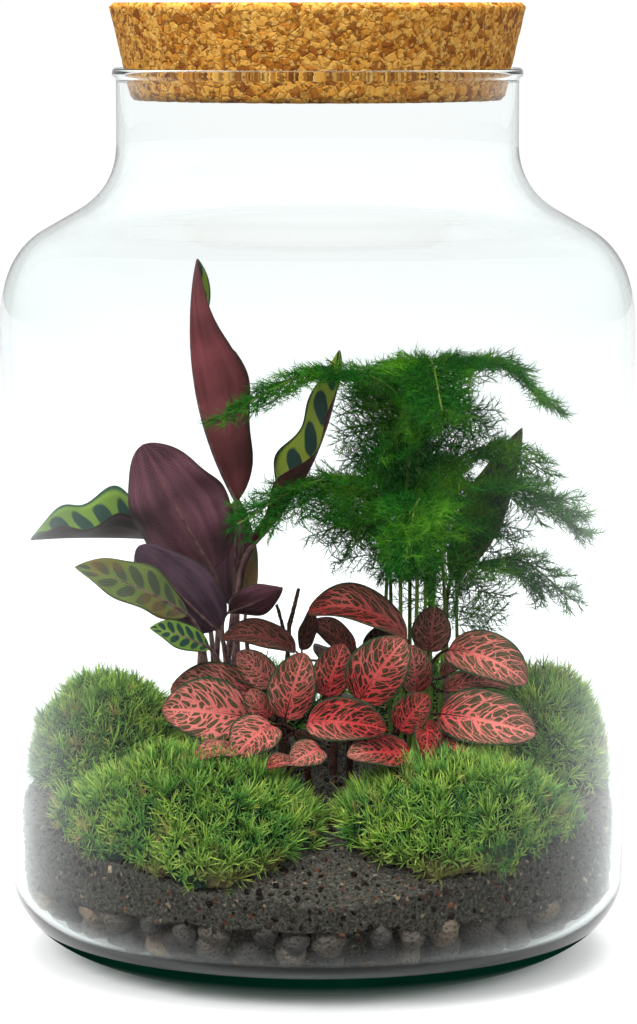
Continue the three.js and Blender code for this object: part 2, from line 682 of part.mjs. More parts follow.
// A frond rises from its root to its turn, then runs out to its tip. spread is the length of its longest
// twigs, and flat keeps them in one layer.
const FERN = [
  { name: 'fern_frond_top_left', root: [27, 11], turn: [26, 4, 183], tip: [-29, -14, 168], spread: 22, flat: 1 },
  { name: 'fern_frond_top_right', root: [37, 19], turn: [35, 18, 187], tip: [77, 11, 168], spread: 20, flat: 1 },
  { name: 'fern_frond_top_back', root: [30, 24], turn: [30, 26, 180], tip: [20, 72, 166], spread: 20, flat: 1 },
  { name: 'fern_frond_top_front', root: [31, 9], turn: [33, 7, 189], tip: [38, -38, 176], spread: 18, flat: 1 },
  { name: 'fern_frond_middle_left', root: [24, 16], turn: [20, 9, 147], tip: [-20, -15, 134], spread: 20, flat: 0.4 },
  { name: 'fern_frond_middle_right', root: [39, 15], turn: [43, 13, 148], tip: [85, 4, 129], spread: 22, flat: 0.5 },
  { name: 'fern_frond_middle_front', root: [35, 11], turn: [34, 2, 146], tip: [27, -40, 130], spread: 22, flat: 0.3 },
  { name: 'fern_frond_middle_back', root: [26, 21], turn: [22, 30, 148], tip: [8, 72, 126], spread: 22, flat: 0.3 },
  { name: 'fern_frond_low_right', root: [42, 20], turn: [48, 19, 122], tip: [84, 22, 108], spread: 20, flat: 0.4 },
  { name: 'fern_frond_upper_right', root: [33, 20], turn: [42, 22, 156], tip: [76, 18, 149], spread: 18, flat: 0.4 },
];

const UP = vec(0, 0, 1);

function frondCurve({ root, turn, tip }) {
  const foot = rootAt(root, FROND.foot);
  const knee = vec(...turn);
  const end = vec(...tip);
  const arch = knee.clone().lerp(end, 0.45).add(vec(0, 0, 6));
  const shoulder = knee.clone().lerp(foot, 0.06);
  const sprout = foot.clone().add(vec(0, 0, ROOT_DEPTH + 2));
  const middle = sprout.clone().lerp(knee, 0.5);
  return new THREE.CatmullRomCurve3([foot, sprout, middle, shoulder, arch, end], false, 'centripetal');
}

const fronds = FERN.map((frond) => {
  const curve = frondCurve(frond);
  takeCurve(frond.name, curve, FROND.foot, 20);
  return { ...frond, curve };
});

// A comb of needles lying in its own X and Y, with its spine along +X: each needle is a sharp tooth that
// leans towards the tip. Needles are given by where they leave the spine and to which side, 1 or -1.
function combGeometry(length, needles) {
  const { thickness, foot, spine, root } = COMB;
  const tooth = ({ at, hand }) => [
    [at, hand * spine],
    needleTip(at, hand),
    [at + root, hand * spine],
  ];
  const right = needles.filter(({ hand }) => hand < 0).flatMap(tooth);
  const left = needles.filter(({ hand }) => hand > 0).flatMap(tooth).reverse();
  const outline = [[0, -foot], ...right, [length, 0], ...left, [0, foot]];
  const shape = new THREE.Shape(outline.map(([x, y]) => new THREE.Vector2(x, y)));
  const plate = new THREE.ExtrudeGeometry(shape, { depth: thickness, bevelEnabled: false });
  return plate.translate(0, 0, -thickness / 2);
}

function needleTip(at, hand) {
  return [at + COMB.needle * Math.cos(COMB.lean), hand * COMB.needle * Math.sin(COMB.lean)];
}

// One twig as a comb, without the needles that would touch a neighbour, or nothing where it has no room.
function twigComb(owner, from, out, across, length) {
  const flatwise = out.clone().cross(across);
  const frame = new THREE.Matrix4().makeBasis(out, across, flatwise).setPosition(from);
  const inPlace = ([x, y]) => vec(x, y, 0).applyMatrix4(frame);
  const tip = inPlace([length, 0]);
  const half = COMB.thickness / 2;
  if (!isFree(owner, inPlace([2, 0]), tip, half + 0.2)) return null;
  const pitch = (length - COMB.root - 1.5) / COMB.pairs;
  const needles = [];
  for (let i = 0; i < COMB.pairs; i += 1) {
    [1, -1].forEach((hand) => {
      const at = pitch * (i + (hand > 0 ? 0.75 : 0.4));
      const end = inPlace(needleTip(at, hand));
      if (isFree(owner, inPlace([at, 0]), end, half + 0.1)) {
        needles.push({ at, hand });
        take(owner, inPlace([at, 0]), end, half);
      }
    });
  }
  take(owner, from, tip, half);
  return solid(combGeometry(length, needles).applyMatrix4(frame));
}

// Twigs on alternate sides from the turn to the tip, longest just past the turn.
function frondShapes({ name, curve, root, turn, spread, flat }, seed) {
  const random = seeded(seed);
  const shapes = [solid(rod(curve, FROND.foot, FROND.end, FROND.sides, FROND.steps))];
  const bare = vec(root[0], root[1], SOIL.middle - ROOT_DEPTH).distanceTo(vec(...turn)) / curve.getLength();
  for (let i = 0; i < FROND.twigs; i += 1) {
    const share = i / (FROND.twigs - 1);
    const at = THREE.MathUtils.lerp(bare * 0.86, 0.985, share);
    const along = curve.getTangentAt(at);
    const side = along.clone().cross(UP).normalize();
    const up = side.clone().cross(along);
    const tilt = (random() - 0.5) * ((1 - flat) * 3 + 0.35);
    const hand = i % 2 ? 1 : -1;
    const out = side.clone().multiplyScalar(hand * Math.cos(tilt)).addScaledVector(up, Math.sin(tilt));
    out.multiplyScalar(0.85).addScaledVector(along, 0.55).normalize();
    const across = up.clone().applyAxisAngle(out, (random() - 0.5) * ((1 - flat) * 2 + 0.6));
    across.cross(out).normalize();
    const reach = spread * Math.min(1, 0.55 + share * 2) * (1 - 0.68 * share) * (0.85 + random() * 0.3);
    const comb = [1, 0.75, 0.5]
      .map((part) => () => twigComb(name, curve.getPointAt(at), out, across, reach * part))
      .reduce((made, make) => made ?? make(), null);
    if (comb) shapes.push(comb);
  }
  return shapes;
}

fronds.forEach((frond, i) => place(frond.name, fuse(frondShapes(frond, 40 + i), 0.03), FINISH.fern));

place('soil', soilWithHoles(), FINISH.soil);

export default terrarium;
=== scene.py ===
"""A planted glass jar garden, dressed for close viewing.

The jar, its cork, the stones, the soil, the moss and the plants of the model are each replaced by a finer
piece of the same form. Lengths are millimetres until a mesh is made, and +Z is up. The viewer stands on the
-Y side.
"""

import json
import math
import random

import bmesh
import bpy
import numpy as np
from bpy.props import FloatProperty, FloatVectorProperty, IntProperty, PointerProperty
from mathutils import Matrix, Vector, noise

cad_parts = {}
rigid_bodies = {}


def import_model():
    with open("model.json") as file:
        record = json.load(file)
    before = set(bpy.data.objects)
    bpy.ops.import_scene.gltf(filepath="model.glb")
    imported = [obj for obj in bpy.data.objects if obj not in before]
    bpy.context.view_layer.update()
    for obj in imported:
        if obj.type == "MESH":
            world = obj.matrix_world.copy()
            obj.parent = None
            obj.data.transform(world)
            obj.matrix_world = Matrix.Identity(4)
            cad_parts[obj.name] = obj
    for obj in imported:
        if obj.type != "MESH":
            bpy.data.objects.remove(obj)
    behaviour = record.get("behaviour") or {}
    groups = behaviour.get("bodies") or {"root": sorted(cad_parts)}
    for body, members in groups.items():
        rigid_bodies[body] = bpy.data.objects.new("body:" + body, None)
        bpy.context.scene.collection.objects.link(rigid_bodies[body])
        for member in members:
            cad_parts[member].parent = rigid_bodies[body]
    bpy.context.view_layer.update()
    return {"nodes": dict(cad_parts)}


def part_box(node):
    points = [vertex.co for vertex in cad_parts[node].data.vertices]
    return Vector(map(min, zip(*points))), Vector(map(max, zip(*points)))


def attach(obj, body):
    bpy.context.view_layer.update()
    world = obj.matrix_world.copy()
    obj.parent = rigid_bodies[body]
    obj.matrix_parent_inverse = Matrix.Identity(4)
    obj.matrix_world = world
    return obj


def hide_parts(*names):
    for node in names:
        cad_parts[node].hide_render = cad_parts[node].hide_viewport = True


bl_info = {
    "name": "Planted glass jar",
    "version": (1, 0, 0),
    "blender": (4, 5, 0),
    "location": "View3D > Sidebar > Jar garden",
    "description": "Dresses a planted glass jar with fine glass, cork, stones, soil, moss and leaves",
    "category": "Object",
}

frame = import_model()

MM = 0.001
UP = Vector((0, 0, 1))

# Sizes of the model in millimetres, as the frame holds it

JAR = {
    "foot_radius": 60.5,
    "foot_width": 8.5,
    "push_up": 2,
    "floor": 4.6,
    "corner_height": 24.8,
    "wall_foot": 97.5,
    "widest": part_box("glass_jar")[1][0] / MM,
    "belly": (98.8, 112),
    "shoulder_start": 200,
    "shoulder_end": (86, 229.3),
    "neck_foot": (76, 235),
    "neck_start": 256,
    "neck_outer": 63,
    "neck_inner": 61,
    "wall": 3,
    "top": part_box("glass_jar")[1][2] / MM,
    "lip": 1.2,
}

CORK = {
    "bottom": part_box("cork_stopper")[0][2] / MM,
    "top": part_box("cork_stopper")[1][2] / MM,
    "bottom_radius": 58.7,
    "top_radius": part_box("cork_stopper")[1][0] / MM,
    "bevel": 1.4,
    "step": 1.4,
}

STONES = {
    "bottom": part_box("drainage_stones")[0][2] / MM,
    "top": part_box("drainage_stones")[1][2] / MM,
    "depth": 6.5,
}

SOIL = {
    "bottom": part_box("soil")[0][2] / MM,
    "middle": 56,
    "front_drop": 21,
    "back_rise": 6,
    "side_drop": 6,
    "reach": 92,
    "side_reach": 95,
    "gap": 0.9,
    "sides": 300,
    "top_rings": 62,
    "side_rings": 18,
}

ROOT_DEPTH = 8


# Node trees


class Socket:
    """An output of a node. Arithmetic on it adds Math nodes to the same tree."""

    def __init__(self, tree, socket):
        self.tree = tree
        self.socket = socket

    def math(self, operation, *others):
        return self.tree.math(operation, self, *others)

    def __add__(self, other):
        return self.math("ADD", other)

    def __radd__(self, other):
        return self.tree.math("ADD", other, self)

    def __sub__(self, other):
        return self.math("SUBTRACT", other)

    def __rsub__(self, other):
        return self.tree.math("SUBTRACT", other, self)

    def __mul__(self, other):
        return self.math("MULTIPLY", other)

    def __rmul__(self, other):
        return self.tree.math("MULTIPLY", other, self)

    def __truediv__(self, other):
        return self.math("DIVIDE", other)

    def __rtruediv__(self, other):
        return self.tree.math("DIVIDE", other, self)

    def __pow__(self, other):
        return self.math("POWER", other)

    def __abs__(self):
        return self.math("ABSOLUTE")

    def fraction(self):
        return self.math("FRACT")

    def sine(self):
        return self.math("SINE")

    def greater(self, other):
        return self.math("MAXIMUM", other)

    def above(self, other):
        return self.math("GREATER_THAN", other)

    def step(self, low, high):
        """0 below low, 1 above high, and smooth between them. With low above high it falls."""
        settings = {"interpolation_type": "SMOOTHSTEP"}
        inputs = {"Value": self, "From Min": low, "From Max": high, "To Min": 0.0, "To Max": 1.0}
        if low > high:
            inputs.update({"From Min": high, "From Max": low, "To Min": 1.0, "To Max": 0.0})
        return self.tree.node("ShaderNodeMapRange", settings, inputs, "Result")


class Tree:
    """Adds nodes to a shader or geometry tree."""

    def __init__(self, node_tree):
        self.node_tree = node_tree

    def fill(self, socket, value):
        if isinstance(value, Socket):
            self.node_tree.links.new(value.socket, socket)
        elif isinstance(value, bpy.types.NodeSocket):
            self.node_tree.links.new(value, socket)
        else:
            socket.default_value = value

    def node(self, kind, settings=None, inputs=None, output=0):
        """A new node with these settings, then these socket values or links. Gives one of its outputs."""
        made = self.node_tree.nodes.new(kind)
        for name, value in (settings or {}).items():
            if name == "stops":
                ramp = made.color_ramp.elements
                for i, (place, colour) in enumerate(value):
                    stop = ramp[i] if i < 2 else ramp.new(place)
                    stop.position = place
                    stop.color = (*colour, 1)
            else:
                setattr(made, name, value)
        for key, value in (inputs or {}).items():
            if isinstance(key, int):
                self.fill(made.inputs[key], value)
            else:
                same = [s for s in made.inputs if key in (s.identifier, s.name)]
                self.fill(same[0], value)
        if output is None:
            return made
        if isinstance(output, int):
            return Socket(self, made.outputs[output])
        same = [s for s in made.outputs if output in (s.identifier, s.name)]
        return Socket(self, same[0])

    def math(self, operation, *values):
        return self.node("ShaderNodeMath", {"operation": operation}, dict(enumerate(values)))

    def vector(self, operation, *values):
        return self.node("ShaderNodeVectorMath", {"operation": operation}, dict(enumerate(values)))

    def mix(self, factor, first, second):
        inputs = {"Factor_Float": factor, "A_Color": colour(first), "B_Color": colour(second)}
        return self.node("ShaderNodeMix", {"data_type": "RGBA"}, inputs, "Result_Color")

    def ramp(self, value, *stops, interpolation="LINEAR"):
        made = self.node("ShaderNodeValToRGB", {"stops": stops}, {"Fac": value}, None)
        made.color_ramp.interpolation = interpolation
        return Socket(self, made.outputs["Color"])

    def noise(self, place, scale, detail=3.0, roughness=0.5, output="Fac"):
        inputs = {"Vector": place, "Scale": scale, "Detail": detail, "Roughness": roughness}
        return self.node("ShaderNodeTexNoise", None, inputs, output)

    def cells(self, place, scale, feature="F1", output="Distance", randomness=1.0):
        inputs = {"Vector": place, "Scale": scale, "Randomness": randomness}
        return self.node("ShaderNodeTexVoronoi", {"feature": feature}, inputs, output)

    def bump(self, height, distance, strength):
        inputs = {"Height": height, "Distance": distance, "Strength": strength}
        return self.node("ShaderNodeBump", None, inputs)

    def object_place(self):
        return self.node("ShaderNodeTexCoord", None, None, "Object")

    def attribute(self, name):
        return self.node("ShaderNodeAttribute", {"attribute_name": name}, None, "Fac")

    def parts(self, value, kind="XYZ"):
        """The three numbers of a place or, with the kind Color, of a colour."""
        made = self.node("ShaderNodeSeparate" + kind, None, {0: value}, None)
        return [Socket(self, each) for each in made.outputs]

    def point(self, *values):
        return self.node("ShaderNodeCombineXYZ", None, dict(enumerate(values)))

    def blade_place(self):
        """How far a point lies across its blade and along it, each 0 to 1."""
        return self.parts(self.node("ShaderNodeUVMap", {"uv_map": "blade"}))[:2]


def colour(value):
    """A colour of three numbers with its alpha. Sockets pass unchanged."""
    return (*value, 1) if isinstance(value, (tuple, list)) and len(value) == 3 else value


def srgb(red, green, blue):
    """A colour given as the eye sees it, 0 to 255, in linear light."""
    def linear(c):
        return c / 12.92 if c <= 0.04045 else ((c + 0.055) / 1.055) ** 2.4

    return tuple(linear(c / 255) for c in (red, green, blue))


def material(name, paint):
    """A material whose Principled shader gets what paint gives: socket names and their values or links."""
    made = bpy.data.materials.new(name)
    made.use_nodes = True
    tree = Tree(made.node_tree)
    shader = made.node_tree.nodes["Principled BSDF"]
    for key, value in paint(tree).items():
        tree.fill(shader.inputs[key], colour(value))
    return made


def surface(base, roughness, gloss, normal=None):
    """What a shader gets for a plain opaque surface."""
    values = {"Base Color": base, "Roughness": roughness, "Specular IOR Level": gloss}
    if normal is not None:
        values["Normal"] = normal
    return values


def geometry_tree(name, sockets, build):
    """A geometry tree with these inputs by name and kind. Its result is what build makes of them."""
    made = bpy.data.node_groups.new(name, "GeometryNodeTree")
    made.interface.new_socket("Geometry", in_out="OUTPUT", socket_type="NodeSocketGeometry")
    for label, kind in {"Geometry": "Geometry", **sockets}.items():
        made.interface.new_socket(label, in_out="INPUT", socket_type="NodeSocket" + kind)
    tree = Tree(made)
    entry = tree.node("NodeGroupInput", None, None, None)
    given = {s.name: Socket(tree, s) for s in entry.outputs if s.name}
    leave = tree.node("NodeGroupOutput", None, None, None)
    tree.fill(leave.inputs[0], build(tree, given))
    return made


def pick_from(tree, collection):
    settings = {"transform_space": "ORIGINAL"}
    inputs = {"Collection": collection, "Separate Children": True, "Reset Children": True}
    return tree.node("GeometryNodeCollectionInfo", settings, inputs, "Instances")


def random_number(tree, low, high, seed):
    inputs = {"Min_001": low, "Max_001": high, "Seed": seed}
    return tree.node("FunctionNodeRandomValue", {"data_type": "FLOAT"}, inputs, "Value_001")


def random_vector(tree, low, high, seed):
    inputs = {"Min": low, "Max": high, "Seed": seed}
    return tree.node("FunctionNodeRandomValue", {"data_type": "FLOAT_VECTOR"}, inputs, "Value")


def random_turn(tree, seed):
    return random_vector(tree, (0.0, 0.0, 0.0), (math.tau, math.tau, math.tau), seed)


def real_copies(tree, points, models, turn, scale, seed):
    """A copy of one of the models on each point, with a tone of its own, 0 to 1, for its material."""
    inputs = {
        "Points": points,
        "Instance": pick_from(tree, models),
        "Pick Instance": True,
        "Rotation": turn,
        "Scale": scale,
    }
    placed = tree.node("GeometryNodeInstanceOnPoints", None, inputs)
    settings = {"data_type": "FLOAT", "domain": "INSTANCE"}
    inputs = {"Geometry": placed, "Name": "tone", "Value": random_number(tree, 0.0, 1.0, seed)}
    toned = tree.node("GeometryNodeStoreNamedAttribute", settings, inputs)
    return tree.node("GeometryNodeRealizeInstances", None, {"Geometry": toned})


def joined(tree, first, second):
    made = tree.node("GeometryNodeJoinGeometry", None, {"Geometry": first}, None)
    tree.fill(made.inputs[0], second)
    return Socket(tree, made.outputs[0])


def coated(tree, geometry, finish):
    return tree.node("GeometryNodeSetMaterial", None, {"Geometry": geometry, "Material": finish})


def named_number(tree, name):
    return tree.node("GeometryNodeInputNamedAttribute", {"data_type": "FLOAT"}, {"Name": name})


def grow(piece, tree, **values):
    """Runs a geometry tree on a piece with these inputs, and keeps the result as the piece's plain mesh."""
    modifier = piece.modifiers.new("grow", "NODES")
    modifier.node_group = tree
    for item in tree.interface.items_tree:
        key = item.name.lower().replace(" ", "_")
        if item.in_out == "INPUT" and key in values:
            modifier[item.identifier] = values[key]
    old = piece.data
    piece.data = evaluated(piece)
    piece.data.name = piece.name
    piece.modifiers.clear()
    bpy.data.meshes.remove(old)


# Shapes


class Shape:
    """Points in millimetres and faces, gathered for one piece."""

    def __init__(self):
        self.points = []
        self.faces = []
        self.finishes = []
        self.places = []

    def add(self, points, faces, finish=0, places=None):
        start = len(self.points)
        self.points += [tuple(p) for p in points]
        self.faces += [tuple(start + i for i in face) for face in faces]
        self.finishes += [finish] * len(faces) if isinstance(finish, int) else finish
        self.places += places or [(0.5, 0.0)] * len(points)

    def mesh(self, name):
        made = bpy.data.meshes.new(name)
        made.from_pydata([Vector(p) * MM for p in self.points], [], self.faces)
        made.polygons.foreach_set("material_index", self.finishes)
        smooth_faces(made)
        corners = np.zeros(len(made.loops), dtype=np.int32)
        made.loops.foreach_get("vertex_index", corners)
        layer = made.uv_layers.new(name="blade")
        layer.uv.foreach_set("vector", np.array(self.places, dtype=np.float32)[corners].ravel())
        made.update()
        return made


def smooth_faces(mesh):
    mesh.polygons.foreach_set("use_smooth", [True] * len(mesh.polygons))


def mark(mesh, label, values):
    """Gives each point of a mesh a number that its material or its geometry tree reads."""
    layer = mesh.attributes.new(label, "FLOAT", "POINT")
    layer.data.foreach_set("value", values)


def wire_mesh(name, points, edges=(), **marks):
    """Loose points in millimetres and edges, with their marks, for a geometry tree to grow from."""
    mesh = bpy.data.meshes.new(name)
    mesh.from_pydata([Vector(p) * MM for p in points], list(edges), [])
    for label, values in marks.items():
        mark(mesh, label, values)
    return mesh


def lump(name, detail, shaped):
    """A small round body about 1 across, whose points go where shaped puts them."""
    mesh = bpy.data.meshes.new(name)
    work = bmesh.new()
    bmesh.ops.create_icosphere(work, subdivisions=detail, radius=0.5)
    for vertex in work.verts:
        vertex.co = shaped(vertex.co)
    work.to_mesh(mesh)
    work.free()
    return mesh


def evaluated(made):
    """The mesh of an object with its modifiers applied."""
    depsgraph = bpy.context.evaluated_depsgraph_get()
    return bpy.data.meshes.new_from_object(made.evaluated_get(depsgraph), depsgraph=depsgraph)


def variants(name, meshes):
    """A collection of small objects for a geometry tree to pick from."""
    made = bpy.data.collections.new(name)
    for i, mesh in enumerate(meshes):
        made.objects.link(bpy.data.objects.new(f"{name}_{i}", mesh))
    return made


def forget(collection):
    for each in list(collection.objects):
        mesh = each.data
        bpy.data.objects.remove(each)
        bpy.data.meshes.remove(mesh)
    bpy.data.collections.remove(collection)


def piece(name, mesh, materials=()):
    made = bpy.data.objects.new(name, mesh)
    bpy.context.scene.collection.objects.link(made)
    for each in materials:
        mesh.materials.append(each)
    return made


def seat(made, slot, *nodes):
    """The finished piece moves with the jar and stands for these nodes of the model."""
    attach(made, "root")
    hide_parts(*nodes)


def bezier(points, t):
    points = [Vector(p) for p in points]
    while len(points) > 1:
        points = [a.lerp(b, t) for a, b in zip(points, points[1:])]
    return points[0]


def bezier_way(points, t):
    """Unit direction of a Bezier curve."""
    return bezier([Vector(b) - Vector(a) for a, b in zip(points, points[1:])], t).normalized()


def smooth_through(points, steps):
    """Points along a centripetal curve through the given ones, this many a stretch."""
    padded = [points[0] * 2 - points[1], *points, points[-1] * 2 - points[-2]]
    line = []
    for a, b, c, d in zip(padded, padded[1:], padded[2:], padded[3:]):
        ab, bc, cd = (math.sqrt((q - p).length) for p, q in ((a, b), (b, c), (c, d)))
        leave = ((b - a) / ab - (c - a) / (ab + bc) + (c - b) / bc) * bc
        arrive = ((c - b) / bc - (d - b) / (bc + cd) + (d - c) / cd) * bc
        for i in range(steps):
            t = i / steps
            line.append(
                b * (2 * t**3 - 3 * t**2 + 1)
                + leave * (t**3 - 2 * t**2 + t)
                + c * (3 * t**2 - 2 * t**3)
                + arrive * (t**3 - t**2)
            )
    return [*line, points[-1]]


class Line:
    """A line of points that is read by its share of the length."""

    def __init__(self, points):
        self.points = points
        self.ends = [0.0]
        for a, b in zip(points, points[1:]):
            self.ends.append(self.ends[-1] + (b - a).length)
        self.length = self.ends[-1]

    def at(self, share):
        goal = min(max(share, 0.0), 1.0) * self.length
        i = min(int(np.searchsorted(self.ends, goal, side="right")) - 1, len(self.points) - 2)
        gap = max(self.ends[i + 1] - self.ends[i], 1e-9)
        return self.points[i].lerp(self.points[i + 1], (goal - self.ends[i]) / gap)

    def way(self, share):
        step = 0.01
        return (self.at(share + step) - self.at(share - step)).normalized()


def rings(rows):
    """Points and faces of a body of rings, each with the same number of points, with flat ends."""
    count = len(rows[0])
    faces = []
    for r in range(len(rows) - 1):
        a, b = r * count, (r + 1) * count
        faces += [(a + i, a + (i + 1) % count, b + (i + 1) % count, b + i) for i in range(count)]
    last = (len(rows) - 1) * count
    faces.append(tuple(reversed(range(count))))
    faces.append(tuple(range(last, last + count)))
    return [p for row in rows for p in row], faces


def tube(line, radius_at, sides, steps):
    """Points and faces of a round rod along a line. radius_at gives its radius by the share of its length."""
    rows = []
    side = line.way(0).orthogonal().normalized()
    for s in range(steps + 1):
        way = line.way(s / steps)
        side = (side - way * side.dot(way)).normalized()
        other = way.cross(side)
        centre = line.at(s / steps)
        turns = [i / sides * math.tau for i in range(sides)]
        radius = radius_at(s / steps)
        rows.append([centre + side * math.cos(a) * radius + other * math.sin(a) * radius for a in turns])
    return rings(rows)


def turned(profile, sides):
    """Points and faces of a solid turned about +Z. The profile runs from the axis back to the axis."""
    inner = profile[1:-1]
    points = [(0, 0, profile[0][1]), (0, 0, profile[-1][1])]
    for radius, height in inner:
        for i in range(sides):
            angle = i / sides * math.tau
            points.append((math.cos(angle) * radius, math.sin(angle) * radius, height))
    faces = []
    for i in range(sides):
        j = (i + 1) % sides
        for r in range(len(inner) - 1):
            a, b = 2 + r * sides, 2 + (r + 1) * sides
            faces.append((a + i, a + j, b + j, b + i))
        last = 2 + (len(inner) - 1) * sides
        faces.append((0, 2 + j, 2 + i))
        faces.append((1, last + i, last + j))
    return points, faces


# Inside of the jar


def wall_radius(height):
    """Inside radius of the straight wall."""
    slope = (JAR["widest"] - JAR["wall_foot"]) / (JAR["shoulder_start"] - JAR["corner_height"])
    return JAR["wall_foot"] - JAR["wall"] + (height - JAR["corner_height"]) * slope


def corner_radius(height):
    """Inside radius at any height up to the shoulder."""
    if height > JAR["corner_height"]:
        return wall_radius(height)
    drop = min((JAR["corner_height"] - height) / (JAR["corner_height"] - JAR["floor"]), 1)
    reach = JAR["wall_foot"] - JAR["wall"] - JAR["foot_radius"]
    return JAR["foot_radius"] + reach * math.sqrt(1 - drop**2)


def press_inside(mesh, gap=0.3):
    """What would reach into the glass is pressed back against it."""
    places = np.zeros(len(mesh.vertices) * 3)
    mesh.vertices.foreach_get("co", places)
    places = places.reshape(-1, 3)
    steps = np.linspace(0, JAR["shoulder_start"], 400)
    limits = np.interp(places[:, 2] / MM, steps, [corner_radius(h) - gap for h in steps]) * MM
    reach = np.hypot(places[:, 0], places[:, 1])
    shrink = np.where(reach > limits, limits / np.maximum(reach, 1e-9), 1)
    places[:, :2] *= shrink[:, None]
    mesh.vertices.foreach_set("co", places.ravel())
    mesh.update()


def soil_height(x, y):
    """Height of the soil's surface, which falls to the front and the sides and rises to the back."""
    forward, backward = max(0, -y) / SOIL["reach"], max(0, y) / SOIL["reach"]
    lumps = 0.9 * math.sin(x * 0.13 + 0.6) * math.cos(y * 0.11 + 0.4)
    slope = SOIL["back_rise"] * backward - SOIL["front_drop"] * forward**2.2
    return SOIL["middle"] + slope - SOIL["side_drop"] * (x / SOIL["side_reach"]) ** 2 + lumps


def root_at(root):
    return Vector((root[0], root[1], soil_height(*root) - ROOT_DEPTH))


# Settings that a user would change


class JarSettings(bpy.types.PropertyGroup):
    sides: IntProperty(name="Sides", description="Flat sides of the turned glass", default=144, min=32)
    tint: FloatVectorProperty(
        name="Tint", description="What the glass lets through", subtype="COLOR", default=(0.2, 0.6, 0.55)
    )
    depth: FloatProperty(name="Tint depth", description="How soon the tint shows, per metre", default=26.0)
    shine: FloatProperty(name="Shine", description="How much the glass mirrors head-on", default=0.04)
    # The foot colour is the glass's own green, darkened with painted shade of the floor beneath it.
    foot_tint_and_shade: FloatVectorProperty(
        name="Foot tint", description="Colour of the thick foot", subtype="COLOR", default=srgb(2, 40, 28)
    )


class CorkSettings(bpy.types.PropertyGroup):
    sides: IntProperty(name="Sides", description="Flat sides of the turned cork", default=240, min=32)
    granule: FloatProperty(name="Granule", description="Size of one granule", default=0.0027, unit="LENGTH")
    pit: FloatProperty(name="Pit depth", description="Depth between granules", default=0.0005, unit="LENGTH")


class GroundSettings(bpy.types.PropertyGroup):
    stone: FloatProperty(name="Stone", description="Mean size of a stone", default=0.0105, unit="LENGTH")
    crumb: FloatProperty(name="Crumb", description="Mean size of a crumb", default=0.0013, unit="LENGTH")
    crumb_spacing: FloatProperty(
        name="Crumb spacing", description="Least distance of two crumbs", default=0.0025, unit="LENGTH"
    )


class MossSettings(bpy.types.PropertyGroup):
    blade: FloatProperty(name="Blade", description="Length of a moss blade", default=0.0056, unit="LENGTH")
    spacing: FloatProperty(name="Spacing", description="Distance of tufts", default=0.0021, unit="LENGTH")
    # The tip colour is partly the moss's own paler young growth and partly painted light. The root colour is
    # painted shade deep in the cushion.
    tip: FloatVectorProperty(
        name="Tips", description="Colour of lit tips", subtype="COLOR", default=srgb(220, 238, 112)
    )
    root: FloatVectorProperty(
        name="Roots", description="Colour in the depth", subtype="COLOR", default=srgb(12, 26, 12)
    )


class LeafSettings(bpy.types.PropertyGroup):
    thickness: FloatProperty(name="Thickness", description="Of a blade", default=0.00045, unit="LENGTH")
    rows: IntProperty(name="Rows", description="Rows of faces along a prayer plant leaf", default=56, min=8)
    nerve_rows: IntProperty(
        name="Nerve rows", description="Rows of faces along a nerve plant leaf", default=26, min=6
    )


class FernSettings(bpy.types.PropertyGroup):
    needle: FloatProperty(name="Needle", description="Length of a needle", default=0.0044, unit="LENGTH")
    pitch: FloatProperty(name="Pitch", description="Distance of needles", default=0.00055, unit="LENGTH")
    twigs: IntProperty(name="Twigs", description="Twigs on a frond", default=40, min=4)


class StageSettings(bpy.types.PropertyGroup):
    camera_distance: FloatProperty(
        name="Camera distance", description="From the axis", default=1.238, unit="LENGTH"
    )
    camera_height: FloatProperty(
        name="Camera height", description="Above the floor", default=0.2991, unit="LENGTH"
    )
    camera_shift: FloatProperty(
        name="Camera shift", description="To the right of the axis", default=0.0003, unit="LENGTH"
    )
    camera_tilt: FloatProperty(
        name="Camera tilt", description="Down from level", default=0.128, subtype="ANGLE"
    )
    lens: FloatProperty(name="Lens", description="Focal length in millimetres", default=138.4)


# Glass jar


def arc_to(start, corner, end, steps):
    """Points of a curve through two ends, drawn towards a corner, without the first."""
    ends = [(*start, 0), (*corner, 0), (*end, 0)]
    return [tuple(bezier(ends, (i + 1) / steps))[:2] for i in range(steps)]


def bottom_corner(centre, outer, bottom, top, steps):
    """A quarter of an ellipse from its lowest point out to its side, without the first point."""
    turns = [(i + 1) / steps * math.pi / 2 for i in range(steps)]
    return [(centre + (outer - centre) * math.sin(a), top - (top - bottom) * math.cos(a)) for a in turns]


